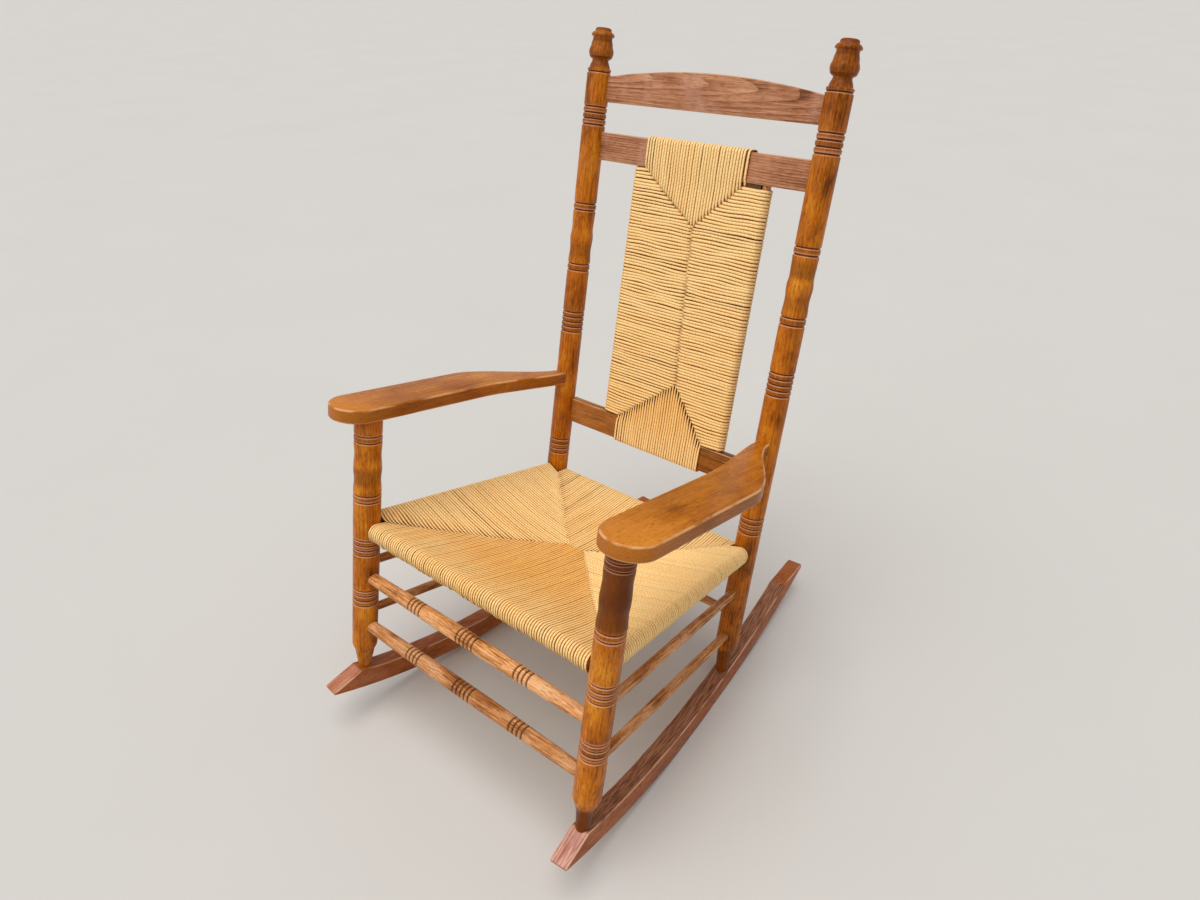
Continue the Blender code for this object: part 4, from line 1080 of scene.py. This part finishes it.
def backWraps(draw, cords):
    b, w = back, back["wraps"]
    for name, corners, up in (("upper", b["top"], 1), ("lower", b["bottom"], -1)):
        left, right = b[name + "Span"]
        mitres = [(left, corners[0]), b[name + "Apex"], (right, corners[1])]
        count = round((right - left) / w["pitch"])
        pitch = (right - left) / count
        for i in range(count):
            x = left + (i + 0.5) * pitch + draw.uniform(-w["scatter"], w["scatter"])
            x += w["apart"].get((name, i), 0.0) + w["apart"].get((name, i - count), 0.0)
            tone = draw.random()
            outer = min(i, count - 1 - i) < w["outer"]
            gap = w["outerGap" if outer else "gap"] + draw.uniform(*w["gapScatter"])
            cord = Cord(w["seed"] + len(cords), tone, gap, pitch * weave["snug"], b["tall"])
            cords.append(wrapCord(name, up, x, onLine(mitres, x), cord))


def backFlanks(draw, cords):
    b, c = back, back["flanks"]
    for k, side in enumerate(sides):
        ends = [(b["bottom"][k], b["lowerSpan"][k]), b["lowerApex"][::-1]]  # the mitres' levels and x
        ends += [b["upperApex"][::-1], (b["top"][k], b["upperSpan"][k])]
        high, low = b["top"][k] - b["trim"], b["bottom"][k] + b["trim"]
        count = round((high - low) / c["pitch"])
        pitch = (high - low) / count
        for i in range(count):
            level = high - (i + 0.5) * pitch + draw.uniform(-c["scatter"], c["scatter"])
            end = onLine(ends, level) + draw.uniform(-c["endScatter"], c["endScatter"])
            tone = draw.random()
            gap, wide = c["gap"] + draw.uniform(-c["gapScatter"], c["gapScatter"]), c["wide"]
            if draw.random() < c["loose"]:
                gap, wide = weave["looseGap"], c["looseWide"]
            cord = Cord(c["seed"] + len(cords), tone, gap, pitch * wide, b["tall"])
            cords.append(flankCord(side, level, end, cord))


def makeRushBack():
    draw = random.Random(back["seed"])
    cords = []
    backWraps(draw, cords)
    backFlanks(draw, cords)
    joinTubes("rushBack", cords, "rush_back")


makeRushSeat()
makeRushBack()


# CAD pieces that show little keep their solids under these finishes

kept = {
    "stretcherOak": ("back_stick_left", "back_stick_right", "seat_rail_front", "seat_rail_rear",
                     "seat_rail_left", "seat_rail_right"),
    "card": ("seat_padding", "back_padding"),
    "nailSteel": ("arm_nail_left", "arm_nail_right"),
}
for look, nodes in kept.items():
    for node in nodes:
        for materialSlot in frame["nodes"][node].material_slots:
            materialSlot.material = finishes[look]
    print("%s on %d kept solids" % (look, len(nodes)))


# Floor, light and camera

studio = {
    "floor": tint(208, 204, 198), "floorStain": tint(182, 179, 174), "stainShare": 0.25, "floorReach": 40.0,
    "world": tint(248, 248, 250), "worldStrength": 0.51,
    "suns": {  # from, strength and softness in degrees
        "key": ((0.10, -0.35, 1.55), 1.72, 44.0),
        "fill": ((-0.55, -1.00, 0.65), 0.75, 60.0),
    },
}


def makeStudio():
    s = studio
    f = Finish("floorPaint")
    grime = f.cloud(f.place(), 1.4, 4.0, 0.6)
    paint = f.mix(grime * s["stainShare"], s["floor"], s["floorStain"])
    f.set(Base_Color=paint, Roughness=0.7 + grime * 0.1)
    reach = s["floorReach"]
    mesh = bpy.data.meshes.new("floor")
    corners = [(-reach, -reach, 0), (reach, -reach, 0), (reach, reach, 0), (-reach, reach, 0)]
    mesh.from_pydata(corners, [], [(0, 1, 2, 3)])
    mesh.materials.append(f.material)
    floor = addObject("floor", mesh)

    world = bpy.data.worlds.new("studio")
    world.use_nodes = True
    sky = world.node_tree.nodes["Background"].inputs
    sky["Color"].default_value = s["world"]
    sky["Strength"].default_value = s["worldStrength"]
    bpy.context.scene.world = world
    for name, (come, strength, angle) in s["suns"].items():
        lamp = bpy.data.lights.new(name, "SUN")
        lamp.energy = strength
        lamp.angle = radians(angle)
        sun = addObject(name, lamp)
        sun.rotation_euler = Vector(come).to_track_quat("Z", "Y").to_euler()


view = {
    "place": (0.8351, -0.5884, 1.1729),  # from the origin of the chair's own axes
    "azimuth": 40.314, "elevation": 31.537, "roll": 1.721,
    "focal": 827.71, "pictureWidth": 1200,  # pixels
    "sensor": 36.0,
}


def makeCamera():
    azimuth, elevation, roll = [radians(view[key]) for key in ("azimuth", "elevation", "roll")]
    turn = Matrix.Rotation(azimuth, 4, "Z") @ Matrix.Rotation(pi / 2 - elevation, 4, "X")
    turn = turn @ Matrix.Rotation(-roll, 4, "Z")
    lens = bpy.data.cameras.new("camera")
    lens.sensor_fit = "HORIZONTAL"
    lens.sensor_width = view["sensor"]
    lens.lens = view["focal"] / view["pictureWidth"] * view["sensor"]
    camera = addObject("camera", lens)
    camera.matrix_world = Matrix.Translation(chairPlace.translation + Vector(view["place"])) @ turn
    bpy.context.scene.camera = camera


makeStudio()
makeCamera()
bpy.context.scene.view_settings.view_transform = "Standard"
print("floor, light and camera set")
